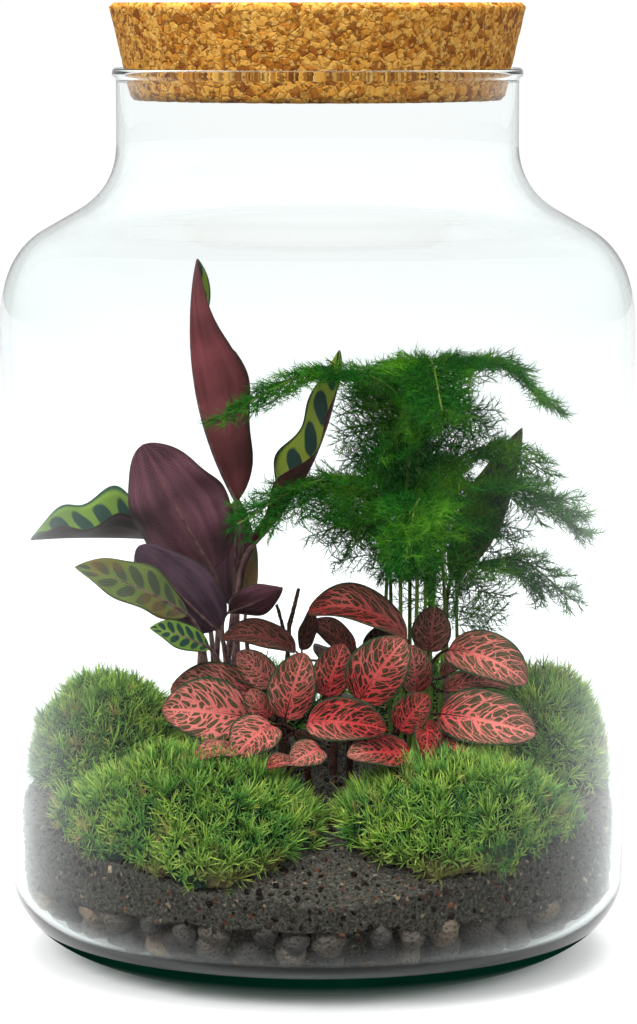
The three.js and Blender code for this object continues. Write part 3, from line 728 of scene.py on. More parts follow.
def glass_profile():
    """Outline of the glass, from the axis up the outside, over the lip and down the inside to the axis."""
    foot, wide, top = JAR["foot_radius"], JAR["widest"], JAR["top"]
    shoulder, neck, lip = JAR["shoulder_start"], JAR["neck_outer"], JAR["lip"]
    side, corner, wall = JAR["wall_foot"], JAR["corner_height"], JAR["wall"]
    inside, inner, neck_start = wide - wall, JAR["neck_inner"], JAR["neck_start"]
    belly, belly_height = JAR["belly"]
    end, end_height = JAR["shoulder_end"]
    neck_foot, foot_height = JAR["neck_foot"]
    ring_inside = foot - JAR["foot_width"]
    inner_end, inner_foot = (end - 1.2, end_height - 2.1), (neck_foot - 1.1, foot_height - 2)
    outer_line = [
        (0, JAR["push_up"]),
        (ring_inside - 8, JAR["push_up"]),
        *arc_to((ring_inside - 8, JAR["push_up"]), (ring_inside - 2.5, 1.8), (ring_inside, 0.1), 4),
        (ring_inside + 2.5, 0),
        (foot, 0),
        *bottom_corner(foot, side, 0, corner, 20),
        *arc_to((side, corner), (belly, belly_height), (wide, shoulder), 8),
        *arc_to((wide, shoulder), (wide - 0.4, shoulder + 21.5), (end, end_height), 14),
        *arc_to((end, end_height), (end - 5, end_height + 2.8), (neck_foot, foot_height), 4),
        *arc_to((neck_foot, foot_height), (neck + 0.2, foot_height + 7), (neck, neck_start), 14),
        (neck, top - 4.5),
        *arc_to((neck, top - 4.5), (neck, top - 3.2), (neck + lip, top - 2.4), 4),
        *arc_to((neck + lip, top - 2.4), (neck + lip + 0.3, top), (neck - 0.2, top), 8),
    ]
    inner_line = [
        *arc_to((neck - 0.2, top), (inner, top), (inner, top - 1.8), 5),
        (inner, neck_start - 1),
        *arc_to((inner, neck_start - 1), (inner + 0.1, foot_height + 5.5), inner_foot, 14),
        *arc_to(inner_foot, (end - 6.2, end_height + 0.7), inner_end, 4),
        *arc_to(inner_end, (inside, end_height - 9.4), (inside, shoulder - 1), 14),
        *arc_to((inside, shoulder - 1), (belly - wall, belly_height), (side - wall, corner), 8)[:-1],
        *reversed(bottom_corner(foot, side - wall, JAR["floor"], corner, 16)),
        (foot, JAR["floor"]),
        (0, JAR["floor"]),
    ]
    return outer_line + inner_line


# Each band outside the jar's corner: the height up to which it reaches, and half the blur of its edge. The
# bands paint what the corner shows: a dark green foot with painted shade, a paler strip at its lowest few
# millimetres, a painted highlight line above the foot, and a painted dark image of the stones above that.
BANDS = {"foot": (11, 0.3), "pale foot": (5, 2.8), "painted highlight line": (12.3, 0.5), "painted stone image": (16.1, 1.1)}


def corner_bands(tree):
    """Masks of the bands by name. The foot and the painted image of the stones show only from outside the
    glass.
    """
    foot_radius, corner_height = JAR["foot_radius"] * MM, JAR["corner_height"] * MM
    corner_width = JAR["wall_foot"] * MM - foot_radius
    x, y, z = tree.parts(tree.object_place())
    out = ((((x * x + y * y) ** 0.5) - foot_radius) / corner_width).greater(0.0)
    drop = (corner_height - z) / corner_height
    outer_side = (out * out + drop * drop).step(0.79, 0.83)
    seen = outer_side * (1 - tree.node("ShaderNodeNewGeometry", None, None, "Backfacing"))
    bands = {
        name: z.step((height + blur) * MM, (height - blur) * MM) for name, (height, blur) in BANDS.items()
    }
    for name in ("foot", "painted stone image"):
        bands[name] = seen * bands[name]
    return bands


def glass_material(settings):
    def paint(tree):
        bands = corner_bands(tree)
        # Base Color paints the stones behind the corner as a dark band, with a lighter painted highlight line
        # below it.
        mirrored = tree.mix(bands["painted highlight line"], (0.0055, 0.0055, 0.005), (0.024, 0.028, 0.026))
        return {
            "Base Color": tree.mix(bands["painted stone image"], (1, 1, 1), mirrored),
            "Roughness": 0.0,
            "IOR": 1.47,
            "Transmission Weight": 1.0,
            "Specular Tint": (settings.shine,) * 3,
        }

    made = material("clear_glass", paint)
    tree = Tree(made.node_tree)
    leave = made.node_tree.nodes["Material Output"]
    tint = {"Color": (*settings.tint, 1), "Density": settings.depth}
    tree.fill(leave.inputs["Volume"], tree.node("ShaderNodeVolumeAbsorption", None, tint))
    bands = corner_bands(tree)
    # The foot band is opaque: the glass's own green darkened as painted shade, paler at its lowest few
    # millimetres.
    green = tree.mix(tree.noise(tree.object_place(), 40.0), settings.foot_tint_and_shade[:], srgb(10, 72, 52))
    green = tree.mix(bands["pale foot"], green, srgb(112, 128, 122))
    foot = tree.node("ShaderNodeBsdfPrincipled", None, surface(green, 0.6, 0.0))
    clear = made.node_tree.nodes["Principled BSDF"].outputs[0]
    both = tree.node("ShaderNodeMixShader", None, {0: bands["foot"], 1: clear, 2: foot})
    tree.fill(leave.inputs["Surface"], both)
    return made


class MakeJar(bpy.types.Operator):
    """Blows the glass jar"""

    bl_idname = "garden.make_jar"
    bl_label = "Make the jar"

    def execute(self, context):
        settings = context.scene.garden_jar
        shape = Shape()
        shape.add(*turned(glass_profile(), settings.sides))
        jar = piece("jar_glass", shape.mesh("jar_glass"), [glass_material(settings)])
        jar.visible_shadow = False
        jar.visible_diffuse = False
        seat(jar, "glass", "glass_jar")
        return {"FINISHED"}


# Cork stopper


def cork_material(settings):
    def paint(tree):
        place = tree.object_place()
        wander = tree.noise(place, 500.0, 2.0, output="Color")
        warped = tree.node("ShaderNodeMix", {"data_type": "VECTOR"}, {
            "Factor_Float": 0.0016, "A_Vector": place, "B_Vector": wander}, "Result_Vector")
        scale = 1 / settings.granule
        tone = tree.cells(warped, scale, output="Color")
        pick, shade, _ = tree.parts(tone, "Color")
        edge = tree.cells(warped, scale, "DISTANCE_TO_EDGE")
        granule = tree.ramp(
            pick,
            (0.0, srgb(242, 180, 84)),
            (0.5, srgb(228, 158, 62)),
            (0.8, srgb(200, 126, 42)),
            (0.97, srgb(150, 84, 28)),
        )
        bits = tree.cells(warped, scale * 2.3, output="Color")
        bit = tree.parts(bits, "Color")[0]
        mixed = tree.mix(bit.step(0.55, 0.95) * 0.75, granule, srgb(134, 78, 24))
        light = tree.mix(bit.step(0.3, 0.05) * 0.6, mixed, srgb(248, 200, 112))
        fine = tree.noise(place, 1500.0, 4.0, 0.7)
        slit = tree.noise(warped, 620.0, 4.0, 0.75).step(0.6, 0.68)
        gap = (edge.step(0.07, 0.0) * shade.step(0.3, 0.8)).greater(slit)
        base = tree.mix(gap * 0.8, light, srgb(74, 38, 14))
        normal = tree.bump(edge.step(0.0, 0.16) + fine * 0.3, 0.0003, 0.7)
        return surface(base, 0.85, 0.15, normal)

    return material("pressed_cork", paint)


def cork_profile(step):
    """Points from the axis below, out over the side and back to the axis above, about this far apart."""
    bottom, top, bevel = CORK["bottom"], CORK["top"], CORK["bevel"]
    low, high = CORK["bottom_radius"], CORK["top_radius"]
    corners = [
        (0, bottom),
        (low - bevel, bottom),
        (low, bottom + bevel),
        (high, top - bevel),
        (high - bevel, top),
        (0, top),
    ]
    line = [corners[0]]
    for (r0, h0), (r1, h1) in zip(corners, corners[1:]):
        count = max(1, round(math.hypot(r1 - r0, h1 - h0) / step))
        line += [(r0 + (r1 - r0) * i / count, h0 + (h1 - h0) * i / count) for i in range(1, count + 1)]
    return line


def sink_granules(points, granule, pit):
    """The cork's points with the lines between granules and a few holes sunk in, about a pit's depth."""
    middle = (CORK["bottom"] + CORK["top"]) / 2
    sunk = []
    for x, y, z in points:
        place = Vector((x, y, z))
        near = noise.voronoi(place / (granule * 1.6))[0]
        line = max(0.0, 0.5 - (near[1] - near[0]) * 1.6) * pit
        hole = max(0.0, noise.noise(place * 0.55 + Vector((7, 3, 1))) - 0.32) * pit * 5
        out = Vector((x, y, (z - middle) * 2.2)).normalized()
        sunk.append(place - out * (line + hole))
    return sunk


class MakeCork(bpy.types.Operator):
    """Presses the cork stopper out of granules"""

    bl_idname = "garden.make_cork"
    bl_label = "Make the cork"

    def execute(self, context):
        settings = context.scene.garden_cork
        points, faces = turned(cork_profile(CORK["step"]), settings.sides)
        shape = Shape()
        shape.add(sink_granules(points, settings.granule / MM, settings.pit / MM), faces)
        cork = piece("cork_body", shape.mesh("cork_body"), [cork_material(settings)])
        seat(cork, "cork", "cork_stopper")
        return {"FINISHED"}


# Drainage stones


def stone_material():
    def paint(tree):
        place = tree.object_place()
        tone = tree.attribute("tone")
        base = tree.ramp(
            tone,
            (0.0, srgb(68, 66, 64)),
            (0.45, srgb(92, 88, 84)),
            (0.8, srgb(118, 108, 98)),
            (1.0, srgb(138, 118, 98)),
        )
        stain = tree.noise(place, 420.0, 4.0, 0.65)
        dusty = tree.mix(stain.step(0.5, 0.75) * 0.4, base, srgb(112, 96, 82))
        pores = tree.cells(place, 900.0)
        dark = tree.mix(pores.step(0.4, 0.15) * 0.7, dusty, srgb(24, 20, 18))
        normal = tree.bump(pores + stain, 0.0008, 0.9)
        return surface(dark, 0.8, 0.1, normal)

    return material("drainage_stone", paint)


def pebble(seed):
    """One rounded stone, a little flat."""
    def shaped(place):
        at = place + Vector((seed * 7.3, 0, 0))
        place = place * (1 + noise.noise(at * 2.6) * 0.22 + noise.noise(at * 8) * 0.06)
        return Vector((place.x, place.y, place.z * 0.82))

    mesh = lump("pebble", 3, shaped)
    smooth_faces(mesh)
    return mesh


def stones_tree():
    """Stones on the points of a mesh, each turned at random and as large as its point's share says."""
    def build(tree, given):
        points = tree.node("GeometryNodeMeshToPoints", None, {"Mesh": given["Geometry"]})
        scale = given["Size"] * named_number(tree, "share")
        turn = random_turn(tree, given["Seed"])
        real = real_copies(tree, points, given["Stones"], turn, scale, given["Seed"])
        return coated(tree, real, given["Material"])

    sockets = {"Stones": "Collection", "Size": "Float", "Seed": "Int", "Material": "Material"}
    return geometry_tree("stones on points", sockets, build)


# Each row of stones round the glass, from the floor up: the height of its middle and how many stones it has
STONE_ROWS = [(9.5, 32), (13.5, 40), (18.5, 46), (24.0, 48)]


def stone_places(size):
    """Where the stones lie against the glass, and each one's share of the mean size."""
    draw = random.Random(11)
    places, shares = [], []
    for r, (height, count) in enumerate(STONE_ROWS):
        for i in range(count):
            share = 0.78 + draw.random() * 0.42
            half = share * size / 2
            level = height + draw.uniform(-1.4, 1.4)
            reach = corner_radius(max(level - half * 0.55, JAR["floor"] + 0.4)) - half * 0.86 - draw.random()
            angle = (i + 0.5 * (r % 2) + draw.uniform(-0.28, 0.28)) / count * math.tau
            places.append((math.cos(angle) * reach, math.sin(angle) * reach, level))
            shares.append(share)
    return places, shares


def core_shape():
    """Solid filling behind the stones, which shows as soil in the gaps between them."""
    bottom, top, steps = STONES["bottom"], STONES["top"], 8
    heights = [bottom + (top - bottom) * i / steps for i in range(steps + 1)]
    profile = [(0, bottom), *((corner_radius(h) - STONES["depth"], h) for h in heights), (0, top)]
    return turned(profile, 96)


class MakeStones(bpy.types.Operator):
    """Lays the drainage stones on the jar's floor, in rows against the glass"""

    bl_idname = "garden.make_stones"
    bl_label = "Make the stones"

    def execute(self, context):
        size = context.scene.garden_ground.stone
        places, shares = stone_places(size / MM)
        bed = piece("stone_bed", wire_mesh("stone_bed", places, share=shares))
        stones = variants("stones", [pebble(i) for i in range(5)])
        grow(bed, stones_tree(), stones=stones, size=size, seed=3, material=stone_material())
        forget(stones)
        press_inside(bed.data, 0.2)
        core = Shape()
        core.add(*core_shape())
        backing = piece("stone_core", core.mesh("stone_core"), [soil_material()])
        seat(bed, "stone", "drainage_stones")
        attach(backing, "root")
        return {"FINISHED"}


# Soil


def soil_material():
    found = bpy.data.materials.get("potting_soil")
    if found:
        return found

    def paint(tree):
        place = tree.object_place()
        coarse = tree.noise(place, 1100.0, 6.0, 0.85)
        fine = tree.noise(place, 1500.0, 3.0, 0.7)
        base = tree.ramp(
            coarse,
            (0.36, srgb(24, 24, 22)),
            (0.48, srgb(66, 66, 60)),
            (0.57, srgb(106, 105, 96)),
            (0.68, srgb(150, 142, 128)),
        )
        grain = tree.cells(place, 1100.0, output="Color")
        pick = tree.parts(grain, "Color")[0]
        pale = tree.mix(pick.step(0.99, 0.992), base, srgb(170, 148, 120))
        fleck = tree.mix(fine.step(0.52, 0.66) * 0.5, pale, srgb(120, 102, 88))
        red = tree.mix(pick.step(0.014, 0.01), fleck, srgb(120, 66, 42))
        normal = tree.bump(coarse + fine * 0.5, 0.0012, 0.9)
        return surface(red, 0.95, 0.05, normal)

    return material("potting_soil", paint)


def crumb_material():
    def paint(tree):
        tone = tree.attribute("tone")
        place = tree.object_place()
        base = tree.ramp(
            tone,
            (0.0, srgb(30, 25, 22)),
            (0.5, srgb(58, 50, 44)),
            (0.82, srgb(90, 78, 68)),
            (0.96, srgb(116, 80, 60)),
            (0.988, srgb(182, 162, 136)),
            interpolation="CONSTANT",
        )
        spotted = tree.mix(tree.noise(place, 900.0, 3.0).step(0.4, 0.7) * 0.5, base, srgb(40, 28, 22))
        return surface(spotted, 0.92, 0.05)

    return material("soil_crumb", paint)


def crumble(x, y, z, depth):
    """How far the soil's skin stands out at a place, in lumps of about this depth."""
    place = Vector((x, y, z))
    return depth * (noise.fractal(place * 0.45, 0.9, 2.1, 3) + 0.5 * noise.noise(place * 0.14))


def soil_shape():
    """The soil as rings over its top and down the glass, with crumbly lumps and a ragged lower edge."""
    angles = [i / SOIL["sides"] * math.tau for i in range(SOIL["sides"])]
    top_rings, side_rings = SOIL["top_rings"], SOIL["side_rings"]
    rows = []
    for k in range(top_rings):
        radius = 3 + 90.5 * (k / (top_rings - 1))
        row = []
        for angle in angles:
            x, y = math.sin(angle) * radius, -math.cos(angle) * radius
            z = soil_height(x, y)
            row.append((x, y, z + crumble(x, y, z, 0.9)))
        rows.append(row)
    edge = rows[-1]
    for k in range(1, side_rings + 1):
        row = []
        for angle, (_, _, top) in zip(angles, edge):
            around = Vector((math.sin(angle), math.cos(angle), 0.3))
            ragged = 3.2 * max(0.0, noise.noise(around * 7) + 0.25)
            z = top + (SOIL["bottom"] - 1.2 - ragged - top) * (k / side_rings)
            radius = corner_radius(z) - SOIL["gap"]
            radius -= abs(crumble(math.sin(angle) * radius, -math.cos(angle) * radius, z, 0.8))
            row.append((math.sin(angle) * radius, -math.cos(angle) * radius, z))
        rows.append(row)
    return rings(list(reversed(rows)))


def crumb(seed):
    return lump("crumb", 1, lambda p: p * (1 + noise.noise(p * 3 + Vector((0, seed * 5.1, 0))) * 0.9))


def crumbs_tree():
    """Crumbs strewn over a surface, most of them small, joined with it."""
    def build(tree, given):
        inputs = {
            "Mesh": given["Geometry"],
            "Distance Min": given["Spacing"],
            "Density Max": 420000.0,
            "Seed": given["Seed"],
        }
        points = tree.node("GeometryNodeDistributePointsOnFaces", {"distribute_method": "POISSON"}, inputs)
        share = random_number(tree, 0.0, 1.0, 17)
        scale = given["Size"] * (0.6 + share * share * share * 1.6)
        real = real_copies(tree, points, given["Crumbs"], random_turn(tree, given["Seed"]), scale, 23)
        return joined(tree, given["Geometry"], coated(tree, real, given["Material"]))

    sockets = {
        "Crumbs": "Collection",
        "Size": "Float",
        "Spacing": "Float",
        "Seed": "Int",
        "Material": "Material",
    }
    return geometry_tree("crumbs on soil", sockets, build)


class MakeSoil(bpy.types.Operator):
    """Fills in the soil and strews crumbs over it"""

    bl_idname = "garden.make_soil"
    bl_label = "Make the soil"

    def execute(self, context):
        settings = context.scene.garden_ground
        shape = Shape()
        shape.add(*soil_shape())
        soil = piece("soil_bed", shape.mesh("soil_bed"), [soil_material()])
        crumbs = variants("crumbs", [crumb(i) for i in range(4)])
        sizes = {"size": settings.crumb, "spacing": settings.crumb_spacing}
        grow(soil, crumbs_tree(), crumbs=crumbs, seed=5, material=crumb_material(), **sizes)
        forget(crumbs)
        press_inside(soil.data, 0.3)
        seat(soil, "soil", "soil")
        return {"FINISHED"}


# Moss


def moss_material(settings):
    def paint(tree):
        place = tree.object_place()
        tip = tree.attribute("tip")
        tone = tree.attribute("tone")
        patch = tree.noise(place, 55.0, 3.0)
        # Painted shade: the feet of the blades darken towards the root colour, as deep in the cushion.
        low = tree.mix(patch.step(0.4, 0.65), settings.root[:], srgb(30, 56, 36))
        middle = tree.mix(tone, srgb(56, 112, 46), srgb(120, 168, 56))
        # The tips pale towards the tip colour: partly the moss's own young growth, partly painted light.
        high = tree.mix(tone.step(0.1, 0.9), srgb(128, 186, 90), settings.tip[:])
        stem = tree.mix(tip.step(0.0, 0.45), low, middle)
        blade = tree.mix(tip.step(0.35, 1.0), stem, high)
        dead = tree.mix(tone.step(0.955, 0.975) * 0.85, blade, srgb(168, 148, 92))
        height = tree.parts(place)[2]
        foot = height.step(0.05, 0.039) * tree.noise(place, 80.0, 2.0).step(0.42, 0.58)
        dry = tree.mix(foot * 0.75, dead, srgb(112, 98, 62))
        return surface(dry, 0.62, 0.1)

    return material("moss_blade", paint)


def tuft(seed, blade):
    """A star of blades round one stem, from upright ones to ones that lie out, with their tips marked."""
    draw = random.Random(seed)
    points, faces, tips = [], [], []
    count, half = 14, blade * 0.056
    for i in range(count):
        turn = i * 2.4 + draw.uniform(-0.4, 0.4)
        lean = 0.1 + 1.25 * (i / count) ** 0.8 * draw.uniform(0.8, 1.15)
        length = blade * draw.uniform(0.75, 1.15) * (1 - 0.2 * i / count)
        out = Vector((math.cos(turn) * math.sin(lean), math.sin(turn) * math.sin(lean), math.cos(lean)))
        side = out.cross(UP).normalized()
        flat = out.cross(side)
        foot = UP * blade * draw.uniform(-0.1, 0.3)
        bend = UP * length * draw.uniform(-0.12, 0.22)
        a, b, c, tip = range(len(points), len(points) + 4)
        points += [foot - side * half, foot + side * half]
        points += [foot + flat * half * 0.9, foot + out * length + bend]
        faces += [(a, b, tip), (b, c, tip), (c, a, tip), (c, b, a)]
        tips += [0.1, 0.1, 0.1, 1.0]
    mesh = bpy.data.meshes.new("tuft")
    mesh.from_pydata(points, [], faces)
    mark(mesh, "tip", tips)
    return mesh


def moss_tree():
    """Tufts over a cushion, standing off its surface and turned a little upwards, joined with the cushion."""
    def build(tree, given):
        height = tree.parts(tree.node("GeometryNodeInputNormal"))[2]
        inputs = {
            "Mesh": given["Geometry"],
            "Selection": height.above(-0.65),
            "Distance Min": given["Spacing"],
            "Density Max": 600000.0,
            "Seed": given["Seed"],
        }
        apart = {"distribute_method": "POISSON"}
        made = tree.node("GeometryNodeDistributePointsOnFaces", apart, inputs, None)
        points, normal = (Socket(tree, made.outputs[name]) for name in ("Points", "Normal"))
        stray = random_vector(tree, (-0.45, -0.45, -0.1), (0.45, 0.45, 0.2), 31)
        aim = tree.vector("ADD", tree.vector("ADD", normal, (0.0, 0.0, 0.35)), stray)
        upright = tree.node("FunctionNodeAlignRotationToVector", {"axis": "Z"}, {"Vector": aim})
        inputs = {"Axis": (0.0, 0.0, 1.0), "Angle": random_number(tree, 0.0, math.tau, 37)}
        yaw = tree.node("FunctionNodeAxisAngleToRotation", None, inputs)
        inputs = {"Rotation": upright, "Rotate By": yaw}
        turn = tree.node("FunctionNodeRotateRotation", {"rotation_space": "LOCAL"}, inputs)
        scale = random_number(tree, 0.6, 1.35, 41)
        real = real_copies(tree, points, given["Tufts"], turn, scale, 43)
        return coated(tree, joined(tree, given["Geometry"], real), given["Material"])

    sockets = {"Tufts": "Collection", "Spacing": "Float", "Seed": "Int", "Material": "Material"}
    return geometry_tree("tufts on moss", sockets, build)


# Grid that a cushion is made even on, how often it is smoothed then, and the height and size of its two sorts
# of swelling, which are sunk in by their mean
CUSHION_GRID, CUSHION_SMOOTHING = 0.0016, 6
CUSHION_SWELLING = [(2.6, 0.1), (1.2, 0.3)]
CUSHION_SINK = 1.2

# How much further apart tufts stand on the moss behind the plants
BACK_MOSS_SPACING = 1.5


def cushion_mesh(node):
    """A smooth copy of a cushion of the model with soft lumps, a little smaller, for tufts to stand on."""
    work = bmesh.new()
    work.from_mesh(frame["nodes"][node].data)
    bmesh.ops.remove_doubles(work, verts=work.verts, dist=1e-5)
    mesh = bpy.data.meshes.new(node)
    work.to_mesh(mesh)
    work.free()
    made = piece("moss_cushion", mesh)
    remesh = made.modifiers.new("even", "REMESH")
    remesh.mode = "VOXEL"
    remesh.voxel_size = CUSHION_GRID
    smooth = made.modifiers.new("smooth", "SMOOTH")
    smooth.iterations = CUSHION_SMOOTHING
    even = evaluated(made)
    bpy.data.objects.remove(made)
    bpy.data.meshes.remove(mesh)
    normals = [v.normal.copy() for v in even.vertices]
    for vertex, normal in zip(even.vertices, normals):
        place = vertex.co / MM
        swell = sum(noise.noise(place * scale) * height for height, scale in CUSHION_SWELLING)
        vertex.co += normal * (swell - CUSHION_SINK) * MM
    smooth_faces(even)
    return even


MOSS = ["moss_front_left", "moss_front_right", "moss_left", "moss_right", "moss_back_left", "moss_back_right"]


class MakeMoss(bpy.types.Operator):
    """Grows the moss cushions"""

    bl_idname = "garden.make_moss"
    bl_label = "Make the moss"

    def execute(self, context):
        settings = context.scene.garden_moss
        green = moss_material(settings)
        tufts = variants("tufts", [tuft(i, settings.blade) for i in range(6)])
        growth = moss_tree()
        for i, node in enumerate(MOSS):
            cushion = piece(node + "_blades", cushion_mesh(node))
            spacing = settings.spacing * (BACK_MOSS_SPACING if "back" in node else 1)
            grow(cushion, growth, tufts=tufts, material=green, spacing=spacing, seed=i)
            press_inside(cushion.data, 0.4)
            seat(cushion, "moss", node)
        forget(tufts)
        return {"FINISHED"}


# Leaves


def lance(s):
    """Share of its full width that a long pointed leaf has at a share of its length."""
    return math.sin(math.pi * s**0.82) ** 0.78 if 0 < s < 1 else 0.0


def oval(s):
    """The same of a rounder leaf."""
    return math.sin(math.pi * s**0.8) ** 0.55 if 0 < s < 1 else 0.0


# Places of a blade's columns of points from one edge to the other, closer together at the midrib
BLADE_COLUMNS = [-1, -0.8, -0.6, -0.4, -0.2, -0.06, 0, 0.06, 0.2, 0.4, 0.6, 0.8, 1]


def blade_shape(shape, leaf, rows, thickness, quilt=0.0, veins=7):
    """Adds a blade: its upper face in finish 0 and its lower one in finish 1.

    face is where the upper side looks, bow lifts the middle of the midrib that way, fold raises the edges,
    twist turns the blade about its midrib on the way to the tip, all of it near the tip where curl is high,
    and wave is the height of its edge waves.
    """
    start, end = Vector(leaf["base"]), Vector(leaf["tip"])
    look = Vector(leaf["face"]).normalized()
    bend = start.lerp(end, 0.5) + look * leaf["bow"] * 2
    midrib = [start, bend, end]
    upper, lower, places = [], [], []
    for r in range(rows + 1):
        even = r / rows
        s = (even + (1 - math.cos(math.pi * even)) / 2) / 2
        way = bezier_way(midrib, s)
        side = way.cross(Matrix.Rotation(leaf["twist"] * s ** leaf["curl"], 3, way) @ look).normalized()
        up = side.cross(way)
        reach = leaf["outline"](s)
        half = max(leaf["width"] / 2 * reach, leaf["neck"] if r == 0 else 0.25)
        middle = bezier(midrib, s)
        for u in BLADE_COLUMNS:
            ripple = math.sin(math.tau * (leaf["waves"] * s + leaf["phase"]) + (0.9 if u > 0 else 0))
            fold = leaf["fold"]
            rise = abs(u) ** 1.25 * half * math.sin(fold) + abs(u) ** 2 * leaf["wave"] * ripple * reach
            vein = abs(math.sin(math.pi * veins * (s - 0.2 * abs(u))))
            rise += quilt * reach * (vein - 0.5) * min(1, abs(u) * 4) * (1 - abs(u) ** 4)
            point = middle + side * (u * half * math.cos(fold)) + up * rise
            edge = thickness / 2 * (0.45 if abs(u) == 1 or r in (0, rows) else 1)
            upper.append(point + up * edge)
            lower.append(point - up * edge)
            places.append((u / 2 + 0.5, s))
    wide = len(BLADE_COLUMNS)
    under = len(upper)
    faces, finishes = [], []
    for r in range(rows):
        for i in range(wide - 1):
            a = r * wide + i
            b, c, d = a + 1, a + wide, a + wide + 1
            faces.append((a, b, d, c))
            faces.append((c + under, d + under, b + under, a + under))
            finishes += [0, 1]
        for i, turn in ((0, 1), (wide - 1, -1)):
            a = r * wide + i
            faces.append((a, a + wide, a + wide + under, a + under)[::turn])
            finishes.append(1)
    for r, turn in ((0, -1), (rows, 1)):
        for i in range(wide - 1):
            a = r * wide + i
            faces.append((a, a + 1, a + 1 + under, a + under)[::turn])
            finishes.append(1)
    shape.add(upper + lower, faces, finishes, places + places)
    return midrib


# What a leaf of the prayer plant has unless its own lines say otherwise
PRAYER_LEAF = {"fold": 0.2, "twist": 0, "curl": 1, "neck": 1, "outline": lance}

# root is where the stalk leaves the soil, shade tints the leaf and near 0.6 also paints its upper side
# lighter as painted light, and blade_shape explains the sizes of a blade
PRAYER_PLANT = [
    {"name": "prayer_leaf_tall", "root": (-31, 13), "base": (-26, 11, 142), "tip": (-38, 6, 221),
     "face": (0.77, 0.64, 0.1), "width": 34, "bow": -9, "fold": 0.7, "twist": -1.2, "curl": 3, "wave": 1.8,
     "waves": 2, "phase": 0.2, "shade": 0.75},
    {"name": "prayer_leaf_broad", "root": (-34, 5), "base": (-33.5, 3, 121), "tip": (-55, -5, 162),
     "face": (0.1, 0.95, 0.1), "width": 32, "outline": oval, "bow": -2, "wave": 2.4, "waves": 2.4,
     "phase": 0.1, "shade": 0.3},
    {"name": "prayer_leaf_low_broad", "root": (-30, -1), "base": (-32, -5, 103), "tip": (-56, -14, 131),
     "face": (0.2, 0.95, 0.3), "width": 24, "outline": oval, "bow": -2, "wave": 1, "waves": 1.5,
     "phase": 0.5, "shade": 0.0},
    {"name": "prayer_leaf_left", "root": (-39, 14), "base": (-44, 23, 128), "tip": (-92.5, 7, 130),
     "face": (0.05, -0.3, 0.95), "width": 30, "bow": 1, "fold": 0.8, "wave": 2.6, "waves": 2.6, "phase": 0,
     "shade": 0.1},
    {"name": "prayer_leaf_low_left", "root": (-34, -1), "base": (-41, -13, 109), "tip": (-75, -26, 126),
     "face": (0.1, -0.75, 0.65), "width": 17, "bow": 3, "wave": 1.2, "waves": 2, "phase": 0.4, "shade": 0.9},
    {"name": "prayer_leaf_droop", "root": (-29, -6), "base": (-34, -17, 99), "tip": (-52, -27, 107),
     "face": (-0.2, -0.8, 0.6), "width": 10, "bow": 2, "wave": 0.8, "waves": 1.4, "phase": 0, "shade": 0.2},
    {"name": "prayer_leaf_right", "root": (-25, 8), "base": (-21, 7, 128), "tip": (7, 4, 191),
     "face": (-0.94, 0.34, 0.3), "width": 21, "bow": -7, "fold": 0.75, "twist": 1.5, "wave": 2.4,
     "waves": 2.4, "phase": 0.3, "shade": 0.6},
    {"name": "prayer_leaf_dark", "root": (-27, 16), "base": (-27, 20, 106), "tip": (-26, 23, 142),
     "face": (0.1, 0.95, 0.2), "width": 15, "bow": -2, "wave": 0.9, "waves": 1.6, "phase": 0.6, "shade": 0.2},
    {"name": "prayer_leaf_small", "root": (-25, 2), "base": (-28, -1, 108), "tip": (-11, -9, 117),
     "face": (-0.15, 0.85, 0.45), "width": 13, "bow": -1, "wave": 0.8, "waves": 1.3, "phase": 0.2,
     "shade": 0.3},
    {"name": "prayer_leaf_young", "root": (-20, 13), "base": (-23, 10, 108), "tip": (-20, 11, 127),
     "face": (0.3, -0.9, 0.1), "width": 5, "bow": 0, "wave": 0.3, "waves": 1, "phase": 0, "shade": 1.0},
    {"name": "prayer_leaf_back", "root": (-33, 20), "base": (-36, 27, 104), "tip": (-51, 50, 133),
     "face": (0.2, -0.5, 0.8), "width": 20, "bow": 4, "wave": 1.4, "waves": 2, "phase": 0.3, "shade": 0.5},
    {"name": "prayer_leaf_far_right", "root": (43, 36), "base": (44, 37, 113), "tip": (67, 35, 163),
     "face": (0.3, 0.9, 0.2), "width": 15, "bow": -2, "wave": 1.4, "waves": 2, "phase": 0.5, "shade": 0.9,
     "pale_back": True},
]


def side_veins(along, out):
    """Fine lines that run from the midrib to the edge and a little forward."""
    return ((along * 46 - out * 9) * math.tau).sine()


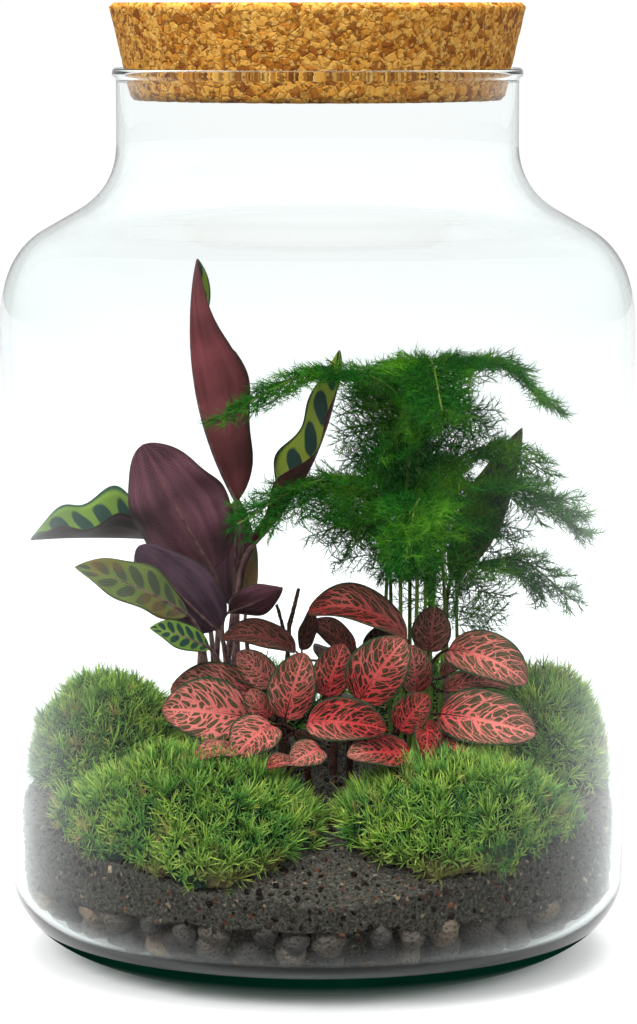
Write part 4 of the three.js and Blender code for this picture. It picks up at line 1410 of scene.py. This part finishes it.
def prayer_upper_material():
    """Light green with a dark oval blotch on each side vein, and a pale midrib. Leaves whose shade is near
    0.6 are painted lighter as painted light.
    """
    def paint(tree):
        across, along = tree.blade_place()
        place = tree.object_place()
        out = abs(across - 0.5) * 2
        hand = across.above(0.5)
        blotches = 6.5
        wobble = tree.noise(place, 90.0, 2.0)
        beat = (along * blotches - out * 0.9 + hand * 0.5 + wobble * 0.5).fraction()
        oval_shape = ((beat - 0.5) / 0.36) ** 2.0 + ((out - 0.42) / 0.4) ** 2.0
        blotch = oval_shape.step(1.15, 0.75)
        rib = out.step(0.07, 0.02)
        lines = side_veins(along, out)
        shade = tree.attribute("shade")
        # Painted light: leaves whose shade lies near 0.6 get a lighter, lit-looking green.
        lit = shade.step(0.45, 0.55) * shade.step(0.8, 0.7)
        plain = tree.mix(tree.noise(place, 140.0, 3.0), srgb(84, 122, 40), srgb(134, 158, 66))
        light = tree.mix(lit * 0.7, plain, srgb(176, 192, 66))
        lined = tree.mix(lines.step(0.3, 1.0) * 0.25, light, srgb(66, 104, 38))
        marked = tree.mix(blotch, lined, srgb(30, 62, 54))
        rimmed = tree.mix(out.step(0.88, 0.97), marked, srgb(34, 66, 48))
        ribbed = tree.mix(rib * 0.7, rimmed, srgb(138, 156, 88))
        aged = shade.step(0.8, 0.95)
        olive = tree.mix(aged * 0.75, ribbed, srgb(88, 86, 64))
        rusty = tree.mix(aged * tree.noise(place, 60.0, 2.0).step(0.5, 0.62) * 0.6, olive, srgb(140, 98, 52))
        normal = tree.bump(lines, 0.0001, 0.3)
        return surface(rusty, 0.42, 0.2, normal)

    return material("prayer_leaf_upper", paint)


def prayer_lower_material():
    """Plum in soft streaks along the blade, with a paler midrib."""
    def paint(tree):
        across, along = tree.blade_place()
        place = tree.object_place()
        out = abs(across - 0.5) * 2
        lines = side_veins(along, out)
        shade = tree.attribute("shade")
        cloud = tree.noise(place, 70.0, 3.0)
        wine = tree.mix(shade, srgb(104, 76, 92), srgb(144, 66, 66))
        deep = tree.mix(shade, srgb(48, 34, 44), srgb(70, 32, 30))
        folds = tree.point(across * 9, along * 1.3, shade * 7)
        streak = tree.noise(folds, 1.0, 3.0).step(0.35, 0.65)
        base = tree.mix(cloud.step(0.3, 0.7) * 0.5 + streak * 0.5, deep, wine)
        lined = tree.mix(lines.step(0.2, 1.0) * 0.08, base, srgb(40, 16, 28))
        rib = out.step(0.06, 0.015)
        ribbed = tree.mix(rib * 0.4, lined, srgb(132, 80, 82))
        rim = tree.mix(out.step(0.9, 0.99) * 0.7, ribbed, srgb(44, 40, 26))
        normal = tree.bump(cloud, 0.0004, 0.3)
        return surface(rim, 0.5, 0.12, normal)

    return material("prayer_leaf_lower", paint)


def stalk_material(name, low, high):
    def paint(tree):
        fleck = tree.noise(tree.object_place(), 320.0, 3.0)
        return surface(tree.mix(fleck.step(0.35, 0.65), low, high), 0.5, 0.1)

    return material(name, paint)


class MakePrayerPlant(bpy.types.Operator):
    """Grows the prayer plant leaf by leaf"""

    bl_idname = "garden.make_prayer_plant"
    bl_label = "Make the prayer plant"

    def execute(self, context):
        settings = context.scene.garden_leaf
        finishes = [
            prayer_upper_material(),
            prayer_lower_material(),
            stalk_material("prayer_stalk", srgb(92, 58, 66), srgb(132, 104, 96)),
        ]
        for each in PRAYER_PLANT:
            leaf = {**PRAYER_LEAF, **each}
            shape = Shape()
            midrib = blade_shape(shape, leaf, settings.rows, settings.thickness / MM)
            foot, base = root_at(leaf["root"]), Vector(leaf["base"])
            rise = base.z - foot.z
            way = bezier_way(midrib, 0)
            bends = [foot, foot + UP * rise * 0.6, base - way * rise * 0.14, base]
            stalk = [bezier(bends, i / 24) for i in range(24)]
            rib = [bezier(midrib, i / 20 * 0.8) for i in range(21)]
            line = Line(stalk + rib)
            shape.add(*tube(line, lambda t: 1.15 - 0.95 * t**1.6, 8, 40), finish=2)
            order = [1, 0, 2] if leaf.get("pale_back") else [0, 1, 2]
            made = piece(leaf["name"] + "_fine", shape.mesh(leaf["name"]), [finishes[i] for i in order])
            mark(made.data, "shade", [leaf["shade"]] * len(made.data.vertices))
            seat(made, "prayer_leaf", leaf["name"])
        return {"FINISHED"}


# What every leaf of the nerve plant has
NERVE_LEAF = {
    "fold": 0.25,
    "outline": oval,
    "twist": 0,
    "curl": 1,
    "wave": 0.4,
    "waves": 1.5,
    "phase": 0.1,
    "neck": 0.6,
}

# Each stem of the nerve plant is its name, root, top and leaves. Each leaf is its base, its tip, the way that
# its upper side faces, its width, and how far it bows.
NERVE_PLANT = [
    ("nerve_stem_left", (-8, -15), (-14, -20, 82), [
        [(-22, -28, 79), (-48, -32, 82), (-0.1, -0.85, 0.5), 22, 2],
        [(-20, -19, 85), (-46, -20, 86), (0, -0.75, 0.66), 17, 3],
        [(-7, -10, 97), (-30, -11, 101), (-0.1, -0.4, 0.9), 16, 3],
        [(-14, -21, 88), (-25, -19, 98), (-0.2, -0.85, 0.4), 11, 1],
        [(-15, -30, 79), (-21, -29, 88), (-0.3, -0.9, 0.3), 9, 1],
    ]),
    ("nerve_stem_front", (-2, -26), (-7, -36, 76), [
        [(-10, -36, 80), (-4, -38, 101), (-0.15, -0.95, 0.3), 16, 1],
        [(-14, -42, 79), (-25, -52, 71), (-0.1, -0.8, 0.6), 16, 2],
        [(1, -50, 73), (-8, -59, 70), (0, -0.8, 0.6), 11, 1],
        [(-23, -46, 71), (-37, -57, 71), (0, -0.4, 0.9), 12, 2],
        [(-3, -50, 67), (-15, -61, 69), (0, -0.35, 0.94), 11, 2],
    ]),
    ("nerve_stem_middle", (10, -27), (10, -35, 80), [
        [(13, -32, 85), (27, -31, 104), (-0.2, -0.9, 0.35), 20, 2],
        [(-3, -42, 80), (21, -50, 79), (0, -0.75, 0.65), 17, 2],
        [(29, -45, 70), (9, -56, 72), (0, -0.7, 0.7), 14, 2],
        [(2, -30, 86), (8, -27, 102), (0.1, -0.9, 0.4), 13, 1],
    ]),
    ("nerve_stem_top", (5, -8), (8, -11, 95), [
        [(28, -17, 102), (-3, -23, 111), (0, -0.5, 0.86), 20, 7],
        [(11, -6, 95), (-3, -4, 105), (0.2, -0.5, 0.8), 12, 2],
        [(18, -14, 94), (22, -11, 105), (0.1, -0.9, 0.3), 12, 1],
        [(-5, -14, 98), (-2, -13, 111), (0.7, -0.7, 0.1), 8, 0],
        [(7, -1, 88), (4, 22, 92), (0, 0.3, 0.95), 15, 3],
    ]),
    ("nerve_stem_right", (18, -20), (27, -27, 78), [
        [(25, -38, 77), (34, -39, 88), (0, -0.9, 0.4), 12, 1],
        [(38, -28, 80), (67, -37, 75), (0.1, -0.8, 0.6), 21, 2],
        [(34, -38, 80), (33, -46, 69), (0.2, -0.85, 0.5), 9, 1],
        [(38, -31, 74), (46, -41, 69), (0.2, -0.7, 0.7), 9, 1],
        [(31, -23, 86), (29, -23, 101), (0.2, -0.95, 0.1), 12, 1],
    ]),
    ("nerve_stem_far_right", (22, -8), (34, -12, 90), [
        [(41, -15, 98), (65, -24, 89), (0.15, -0.8, 0.6), 18, 5],
        [(35, -11, 97), (37, -9, 111), (0, -0.95, 0.3), 13, 1],
        [(40, -14, 85), (60, -15, 86), (0, -0.5, 0.86), 11, 3],
        [(40, -6, 88), (60, 6, 90), (0.2, 0.2, 0.95), 15, 3],
    ]),
    ("nerve_stem_back", (-3, 5), (-2, 10, 80), [
        [(-7, 9, 84), (-20, 26, 82), (-0.2, 0.3, 0.9), 14, 3],
        [(0, 14, 80), (2, 38, 77), (0, 0.4, 0.9), 15, 3],
        [(3, 8, 76), (18, 26, 72), (0.2, 0.3, 0.9), 13, 3],
    ]),
]


def nerve_upper_material():
    """Dark blades with a net of pink veins, which fan out from the midrib and enclose long islands. Leaves
    towards the back of the cluster are painted near black as painted shade.
    """
    def paint(tree):
        across, along = tree.blade_place()
        place = tree.object_place()
        out = abs(across - 0.5) * 2
        slant = along - out * 0.12 - out * out * 0.24
        hand = across.above(0.5)
        wander = tree.noise(place, 420.0, 2.0)
        islands = tree.point(out * 3.0 + wander * 0.5, slant * 12 + wander * 0.7, hand * 7)
        near = tree.cells(islands, 1.0, "DISTANCE_TO_EDGE", randomness=0.9)
        x, y, _ = tree.parts(place)
        left, right = x.step(-0.006, -0.03), x.step(0.03, 0.04)
        # Painted shade: leaves further back than about 10 mm in front of the axis, and left of about 34 mm
        # right of it, darken towards near black.
        deep = y.step(-0.034, -0.01) * x.step(0.05, 0.034)
        width = 0.038 + (1 - out) * 0.03 + along.step(0.45, 0.0) * 0.04 + left * 0.022 - right * 0.012
        net = (near / width).step(1.15, 0.65)
        fine = tree.cells(islands, 2.6, "DISTANCE_TO_EDGE").step(0.06, 0.01) * 0.25
        lateral = abs((slant * 5.5 + hand * 0.4 + wander * 0.15).fraction() - 0.5)
        branch = (lateral / (0.03 + (1 - out) * 0.05)).step(1.3, 0.7)
        rib = out.step(0.1, 0.03)
        inner = out.step(0.98, 0.84)
        veins = rib.greater(branch.greater(net).greater(fine) * inner)
        pale = tree.noise(place, 22.0, 2.0).step(0.42, 0.58).greater(x.step(0.034, 0.05))
        pink = tree.mix(pale, srgb(178, 58, 56), srgb(222, 124, 116))
        hue = tree.mix(along.step(0.7, 0.0) * out.step(0.9, 0.1) * 0.35, pink, srgb(206, 48, 62))
        cloud = tree.noise(place, 160.0, 2.0).step(0.35, 0.65)
        island = tree.mix(cloud, srgb(28, 14, 11), srgb(24, 34, 16))
        light_island = tree.mix(pale * 0.5, island, srgb(92, 92, 62))
        edged = tree.mix(out.step(0.84, 0.97), light_island, srgb(38, 66, 42))
        base = tree.mix(veins, edged, hue)
        shaded = tree.mix(deep * 0.8, base, srgb(14, 6, 5))
        normal = tree.bump(1 - veins, 0.0003, 0.5)
        return surface(shaded, 0.45, 0.12, normal)

    return material("nerve_leaf_upper", paint)


def nerve_lower_material():
    def paint(tree):
        cloud = tree.noise(tree.object_place(), 120.0, 3.0)
        return surface(tree.mix(cloud, srgb(46, 24, 22), srgb(92, 46, 42)), 0.55, 0.1)

    return material("nerve_leaf_lower", paint)


class MakeNervePlant(bpy.types.Operator):
    """Grows the nerve plant stem by stem"""

    bl_idname = "garden.make_nerve_plant"
    bl_label = "Make the nerve plant"

    def execute(self, context):
        settings = context.scene.garden_leaf
        finishes = [
            nerve_upper_material(),
            nerve_lower_material(),
            stalk_material("nerve_stem", srgb(36, 20, 16), srgb(70, 40, 32)),
        ]
        for name, root, top, leaves in NERVE_PLANT:
            foot, end = root_at(root), Vector(top)
            knee = Vector((foot.x, foot.y, foot.z + (end.z - foot.z) * 0.6))
            stem = [bezier([foot, knee, end], i / 12) for i in range(13)]
            shape = Shape()
            shape.add(*tube(Line(stem), lambda t: 1.4 - 0.4 * t, 8, 16), finish=2)
            for base, tip, face, width, bow in leaves:
                leaf = {**NERVE_LEAF, "base": base, "tip": tip, "face": face, "width": width, "bow": bow}
                midrib = blade_shape(shape, leaf, settings.nerve_rows, settings.thickness / MM, 0.5, 6)
                joint = Vector(base)
                start = min(stem, key=lambda p: (p - joint).length)
                elbow = joint - bezier_way(midrib, 0) * 0.4 * (start - joint).length
                way = [bezier([start, elbow, joint], i / 6) for i in range(6)]
                way += [bezier(midrib, i / 8 * 0.6) for i in range(9)]
                shape.add(*tube(Line(way), lambda t: 0.6 - 0.45 * t, 6, 14), finish=2)
            made = piece(name + "_fine", shape.mesh(name), finishes)
            seat(made, "nerve_leaf", name)
        return {"FINISHED"}


# Dry twig


def stray_noise(place):
    """A smooth random vector at a place, the same in each run."""
    return Vector([noise.noise(place + UP * 20 * axis) for axis in range(3)])


class MakeTwig(bpy.types.Operator):
    """Puts the dry twig in the soil"""

    bl_idname = "garden.make_twig"
    bl_label = "Make the twig"

    def execute(self, context):
        foot, fork = root_at((-13, 2)), Vector((-9, 3, 104))
        lines = [
            ([foot, fork.lerp(foot, 0.5) + Vector((0.6, 0, 0)), fork], 1.0),
            ([fork.lerp(foot, 0.02), Vector((-7.4, 2.6, 109)), Vector((-6, 2, 115))], 0.8),
            ([Vector((-10, 3, 97)), Vector((-11.2, 2, 104)), Vector((-13, 1, 110))], 0.7),
        ]
        shape = Shape()
        for bends, thick in lines:
            line = Line([bezier(bends, i / 12) for i in range(13)])
            points, faces = tube(line, lambda t, r=thick: r * (1 - 0.3 * t), 10, 30)
            shape.add([p + stray_noise(p * 0.9) * 0.14 for p in points], faces)
        bark = stalk_material("dry_bark", srgb(38, 28, 22), srgb(78, 58, 44))
        twig = piece("dry_twig_fine", shape.mesh("dry_twig_fine"), [bark])
        seat(twig, "twig", "dry_twig")
        return {"FINISHED"}


# Asparagus fern: each frond is its root, turn, tip, the length of its longest twigs, and how flat it lies
FERN = [
    ("fern_frond_top_left", (27, 11), (26, 4, 184), (-31, -14, 171), 28, 1),
    ("fern_frond_top_right", (37, 19), (35, 18, 187), (78, 11, 171), 28, 1),
    ("fern_frond_top_back", (30, 24), (30, 26, 180), (20, 72, 166), 30, 1),
    ("fern_frond_top_front", (31, 9), (33, 7, 189), (38, -38, 176), 30, 1),
    ("fern_frond_middle_left", (24, 16), (20, 9, 149), (-25, -15, 138), 32, 0.5),
    ("fern_frond_middle_right", (39, 15), (43, 13, 149), (86, 4, 132), 32, 0.5),
    ("fern_frond_middle_front", (35, 11), (34, 2, 146), (27, -40, 130), 32, 0.3),
    ("fern_frond_middle_back", (26, 21), (22, 30, 148), (8, 72, 126), 32, 0.3),
    ("fern_frond_low_right", (42, 20), (48, 19, 122), (84, 22, 108), 24, 0.4),
    ("fern_frond_upper_right", (33, 20), (42, 22, 156), (76, 18, 149), 26, 0.4),
]


def frond_line(root, turn, tip):
    foot, knee, end = root_at(root), Vector(turn), Vector(tip)
    arch = knee.lerp(end, 0.45) + UP * 6
    sprout = foot + UP * (ROOT_DEPTH + 2)
    points = [foot, sprout, sprout.lerp(knee, 0.5), knee.lerp(foot, 0.06), arch, end]
    return Line(smooth_through(points, 24))


def frond_twigs(line, turn, spread, flat, count, draw):
    """Twigs on alternate sides up to the tip, each as its points and the way its flat of sprigs faces."""
    foot = line.points[0]
    bare = (Vector(turn) - foot).length / line.length
    twigs = []
    for i in range(count):
        share = i / (count - 1)
        at = bare * 0.71 + (0.99 - bare * 0.71) * share
        way = line.way(at)
        side = way.cross(UP).normalized()
        up = side.cross(way)
        tilt = draw.uniform(-0.5, 0.5) * ((1 - flat) * 3 + 0.35 if at > bare else math.tau)
        hand = 1 if i % 2 else -1
        out = side * hand * math.cos(tilt) + up * math.sin(tilt)
        out = (out * 0.85 + way * (0.55 if at > bare else 0.0)).normalized()
        out.z = min(out.z, 0.1)
        reach = spread * min(1, 0.55 + share * 2) * (1 - 0.78 * share) * draw.uniform(0.85, 1.15)
        start = line.at(at)
        droop = UP * reach * draw.uniform(-0.18, 0.02)
        ends = [start, start + out * reach * 0.5, start + out * reach + droop]
        plane = (up + Vector([draw.uniform(-0.4, 0.4) for _ in range(3)]) * (1.3 - flat)).normalized()
        twigs.append(([bezier(ends, t / 8) for t in range(9)], plane))
    return twigs


# Radius of a twig and of a sprig at its foot
TWIG_RADIUS, SPRIG_RADIUS = 0.22, 0.13


def fern_lines(line, turn, spread, flat, count, seed):
    """Points, edges and radii of a whole frond's twigs and sprigs."""
    draw = random.Random(seed)
    points, edges, radii = [], [], []

    def draw_line(way, thick):
        for i, point in enumerate(way):
            if i:
                edges.append((len(points) - 1, len(points)))
            points.append(point)
            radii.append(thick * (1 - 0.6 * i / len(way)))

    for way, plane in frond_twigs(line, turn, spread, flat, count, draw):
        twig = Line(way)
        draw_line(way, TWIG_RADIUS)
        sprigs = max(3, int(twig.length / 1.5))
        for k in range(sprigs):
            share = (k + 0.7) / (sprigs + 0.4)
            start, along = twig.at(share), twig.way(share)
            side = along.cross(plane).normalized() * (1 if k % 2 else -1)
            out = (side * 0.8 + along * 0.75 + plane * draw.uniform(-0.35, 0.35)).normalized()
            reach = (3.2 + 5.5 * (1 - share)) * draw.uniform(0.8, 1.2) * min(1, twig.length / 12)
            tip = start + out * reach + UP * reach * 0.05
            draw_line([start, start + out * reach * 0.5, tip], SPRIG_RADIUS)
    return points, edges, radii


def needle_mesh(length):
    """One needle of this length along +Z: a slim three-sided spike."""
    half = length * 0.036
    points = [(half * math.cos(a), half * math.sin(a), 0) for a in (0, math.tau / 3, 2 * math.tau / 3)]
    mesh = bpy.data.meshes.new("needle")
    mesh.from_pydata([*points, (0, 0, length)], [], [(2, 1, 0), (0, 1, 3), (1, 2, 3), (2, 0, 3)])
    return mesh


def fern_tree():
    """Round twigs along edges, with needles leaning out of them on all sides."""
    def build(tree, given):
        curve = tree.node("GeometryNodeMeshToCurve", None, {"Mesh": given["Geometry"]})
        ring = tree.node("GeometryNodeCurvePrimitiveCircle", None, {"Resolution": 3, "Radius": 1.0})
        inputs = {
            "Curve": curve,
            "Profile Curve": ring,
            "Scale": named_number(tree, "radius"),
            "Fill Caps": True,
        }
        rods = tree.node("GeometryNodeCurveToMesh", None, inputs)
        inputs = {"Curve": curve, "Length": given["Pitch"]}
        spaced = tree.node("GeometryNodeResampleCurve", {"mode": "LENGTH"}, inputs)
        stray = random_vector(tree, (-1.0, -1.0, -0.7), (1.0, 1.0, 1.0), given["Seed"])
        aim = tree.vector("ADD", tree.node("GeometryNodeInputTangent"), stray)
        turn = tree.node("FunctionNodeAlignRotationToVector", {"axis": "Z"}, {"Vector": aim})
        scale = random_number(tree, 0.65, 1.15, 47)
        real = real_copies(tree, spaced, given["Needles"], turn, scale, 53)
        return coated(tree, joined(tree, rods, real), given["Material"])

    sockets = {"Needles": "Collection", "Pitch": "Float", "Seed": "Int", "Material": "Material"}
    return geometry_tree("needles on twigs", sockets, build)


def fern_material():
    def paint(tree):
        tone = tree.attribute("tone")
        place = tree.object_place()
        patch = tree.noise(place, 60.0, 3.0)
        cool = tree.mix(tone, srgb(6, 56, 8), srgb(42, 130, 30))
        warm = tree.mix(tone, srgb(38, 120, 12), srgb(122, 186, 42))
        base = tree.mix(patch.step(0.42, 0.7), cool, warm)
        return surface(base, 0.5, 0.1)

    return material("fern_needle", paint)


def add_to(made, mesh, finish):
    """Joins a mesh with its own finish into a piece."""
    extra = piece("extra", mesh, [finish])
    with bpy.context.temp_override(active_object=made, object=made, selected_editable_objects=[made, extra]):
        bpy.ops.object.join()


class MakeFern(bpy.types.Operator):
    """Grows the asparagus fern frond by frond"""

    bl_idname = "garden.make_fern"
    bl_label = "Make the fern"

    def execute(self, context):
        settings = context.scene.garden_fern
        green = fern_material()
        stalk = stalk_material("fern_stem", srgb(86, 120, 44), srgb(120, 146, 60))
        needles = variants("needles", [needle_mesh(settings.needle)])
        growth = fern_tree()
        for i, (name, root, turn, tip, spread, flat) in enumerate(FERN):
            line = frond_line(root, turn, tip)
            twigs = round(settings.twigs * (1.25 if flat >= 0.5 else 1))
            points, edges, radii = fern_lines(line, turn, spread, flat, twigs, 40 + i)
            radius = [r * MM for r in radii]
            frond = piece(name + "_fine", wire_mesh(name, points, edges, radius=radius))
            grow(frond, growth, needles=needles, pitch=settings.pitch, seed=i, material=green)
            stem = Shape()
            stem.add(*tube(line, lambda t: 0.85 - 0.6 * t, 6, 60))
            add_to(frond, stem.mesh("stem"), stalk)
            press_inside(frond.data, 1.0)
            seat(frond, "fern", name)
        forget(needles)
        return {"FINISHED"}


# Stage


# Each light's name, place, the height on the axis that it points at, and its power
LIGHTS = [
    ("key", (-0.8, -0.9, 1.5), 0.12, 30),
    ("fill", (0.9, -0.9, 1.0), 0.12, 8),
    ("top", (0.1, 0.2, 1.6), 0.1, 22),
]
LIGHT_SIZE = 0.8

# Half the floor's side and how far it lies below the jar, in millimetres
FLOOR_REACH, FLOOR_DROP = 6000, 0.05


def area_light(name, place, aim_height, power):
    data = bpy.data.lights.new(name, "AREA")
    data.energy = power
    data.shape = "RECTANGLE"
    data.size = data.size_y = LIGHT_SIZE
    light = bpy.data.objects.new(name, data)
    light.visible_glossy = False
    light.visible_transmission = False
    light.location = place
    light.rotation_euler = (Vector((0, 0, aim_height)) - Vector(place)).to_track_quat("-Z", "Y").to_euler()
    bpy.context.scene.collection.objects.link(light)


def floor_material():
    """Pale and evenly lit, with a soft dark green painted contact shadow where the jar stands, in both its
    colour and its glow, and a faint painted shade in its glow out to half a metre.
    """
    def paint(tree):
        place = tree.object_place()
        reach = tree.node("ShaderNodeVectorMath", {"operation": "LENGTH"}, {0: place}, "Value")
        # ring is the colour of the painted contact shadow round the jar.
        ring, pale = (0.04, 0.06, 0.05), (0.88, 0.89, 0.89)
        shadowed_glow = tree.mix(reach.step(0.064, 0.108), ring, pale)
        matt = tree.mix(tree.noise(place, 3.0, 2.0), (0.48, 0.48, 0.48), (0.52, 0.52, 0.52))
        return {
            "Base Color": tree.mix(reach.step(0.064, 0.082), ring, matt),
            "Roughness": 0.8,
            "Specular IOR Level": 0.1,
            "Emission Color": tree.mix(reach.step(0.12, 0.5), shadowed_glow, (1, 1, 1)),
            "Emission Strength": 0.88,
        }

    return material("pale_floor", paint)


def studio_world():
    """A soft white world that is brighter where it is seen straight or through glass."""
    world = bpy.data.worlds.new("studio")
    world.use_nodes = True
    sky = Tree(world.node_tree)
    backdrop = world.node_tree.nodes["Background"]
    backdrop.inputs["Color"].default_value = (1, 1, 1, 1)
    ray = sky.node("ShaderNodeLightPath", None, None, None)
    straight, through, mirrored = (
        Socket(sky, ray.outputs[f"Is {kind} Ray"]) for kind in ("Camera", "Transmission", "Singular")
    )
    seen = straight.greater(through).greater(mirrored * 0.4)
    sky.fill(backdrop.inputs["Strength"], 0.32 + seen * 0.7)
    return world


def studio_camera(settings):
    lens = bpy.data.cameras.new("camera")
    lens.lens = settings.lens
    lens.sensor_width = 36
    lens.clip_start = 0.01
    camera = bpy.data.objects.new("camera", lens)
    camera.location = (settings.camera_shift, -settings.camera_distance, settings.camera_height)
    camera.rotation_euler = (math.pi / 2 - settings.camera_tilt, 0, 0)
    bpy.context.scene.collection.objects.link(camera)
    return camera


class MakeStage(bpy.types.Operator):
    """Sets the floor, the light and the camera"""

    bl_idname = "garden.make_stage"
    bl_label = "Make the stage"

    def execute(self, context):
        scene = context.scene
        scene.camera = studio_camera(scene.garden_stage)
        scene.view_settings.view_transform = "Standard"
        scene.world = studio_world()
        corners = [(-1, -1), (1, -1), (1, 1), (-1, 1)]
        floor = Shape()
        floor.add([(x * FLOOR_REACH, y * FLOOR_REACH, -FLOOR_DROP) for x, y in corners], [(0, 1, 2, 3)])
        ground = piece("studio_floor", floor.mesh("studio_floor"), [floor_material()])
        ground.visible_diffuse = False
        for light in LIGHTS:
            area_light(*light)
        return {"FINISHED"}


# Panel and registration


STEPS = [
    MakeStage,
    MakeJar,
    MakeCork,
    MakeStones,
    MakeSoil,
    MakeMoss,
    MakePrayerPlant,
    MakeNervePlant,
    MakeTwig,
    MakeFern,
]


class GardenPanel(bpy.types.Panel):
    """Lists the steps in order"""

    bl_idname = "VIEW3D_PT_jar_garden"
    bl_label = "Jar garden"
    bl_space_type = "VIEW_3D"
    bl_region_type = "UI"
    bl_category = "Jar garden"

    def draw(self, context):
        for step in STEPS:
            self.layout.operator(step.bl_idname)


SETTINGS = {
    "garden_jar": JarSettings,
    "garden_cork": CorkSettings,
    "garden_ground": GroundSettings,
    "garden_moss": MossSettings,
    "garden_leaf": LeafSettings,
    "garden_fern": FernSettings,
    "garden_stage": StageSettings,
}


def register():
    for each in (*SETTINGS.values(), *STEPS, GardenPanel):
        bpy.utils.register_class(each)
    for name, group in SETTINGS.items():
        setattr(bpy.types.Scene, name, PointerProperty(type=group))


def unregister():
    for name in SETTINGS:
        delattr(bpy.types.Scene, name)
    for each in (GardenPanel, *reversed(STEPS), *reversed(SETTINGS.values())):
        bpy.utils.unregister_class(each)


def main():
    register()
    for step in STEPS:
        group, name = step.bl_idname.split(".")
        getattr(getattr(bpy.ops, group), name)()


if __name__ == "__main__":
    main()
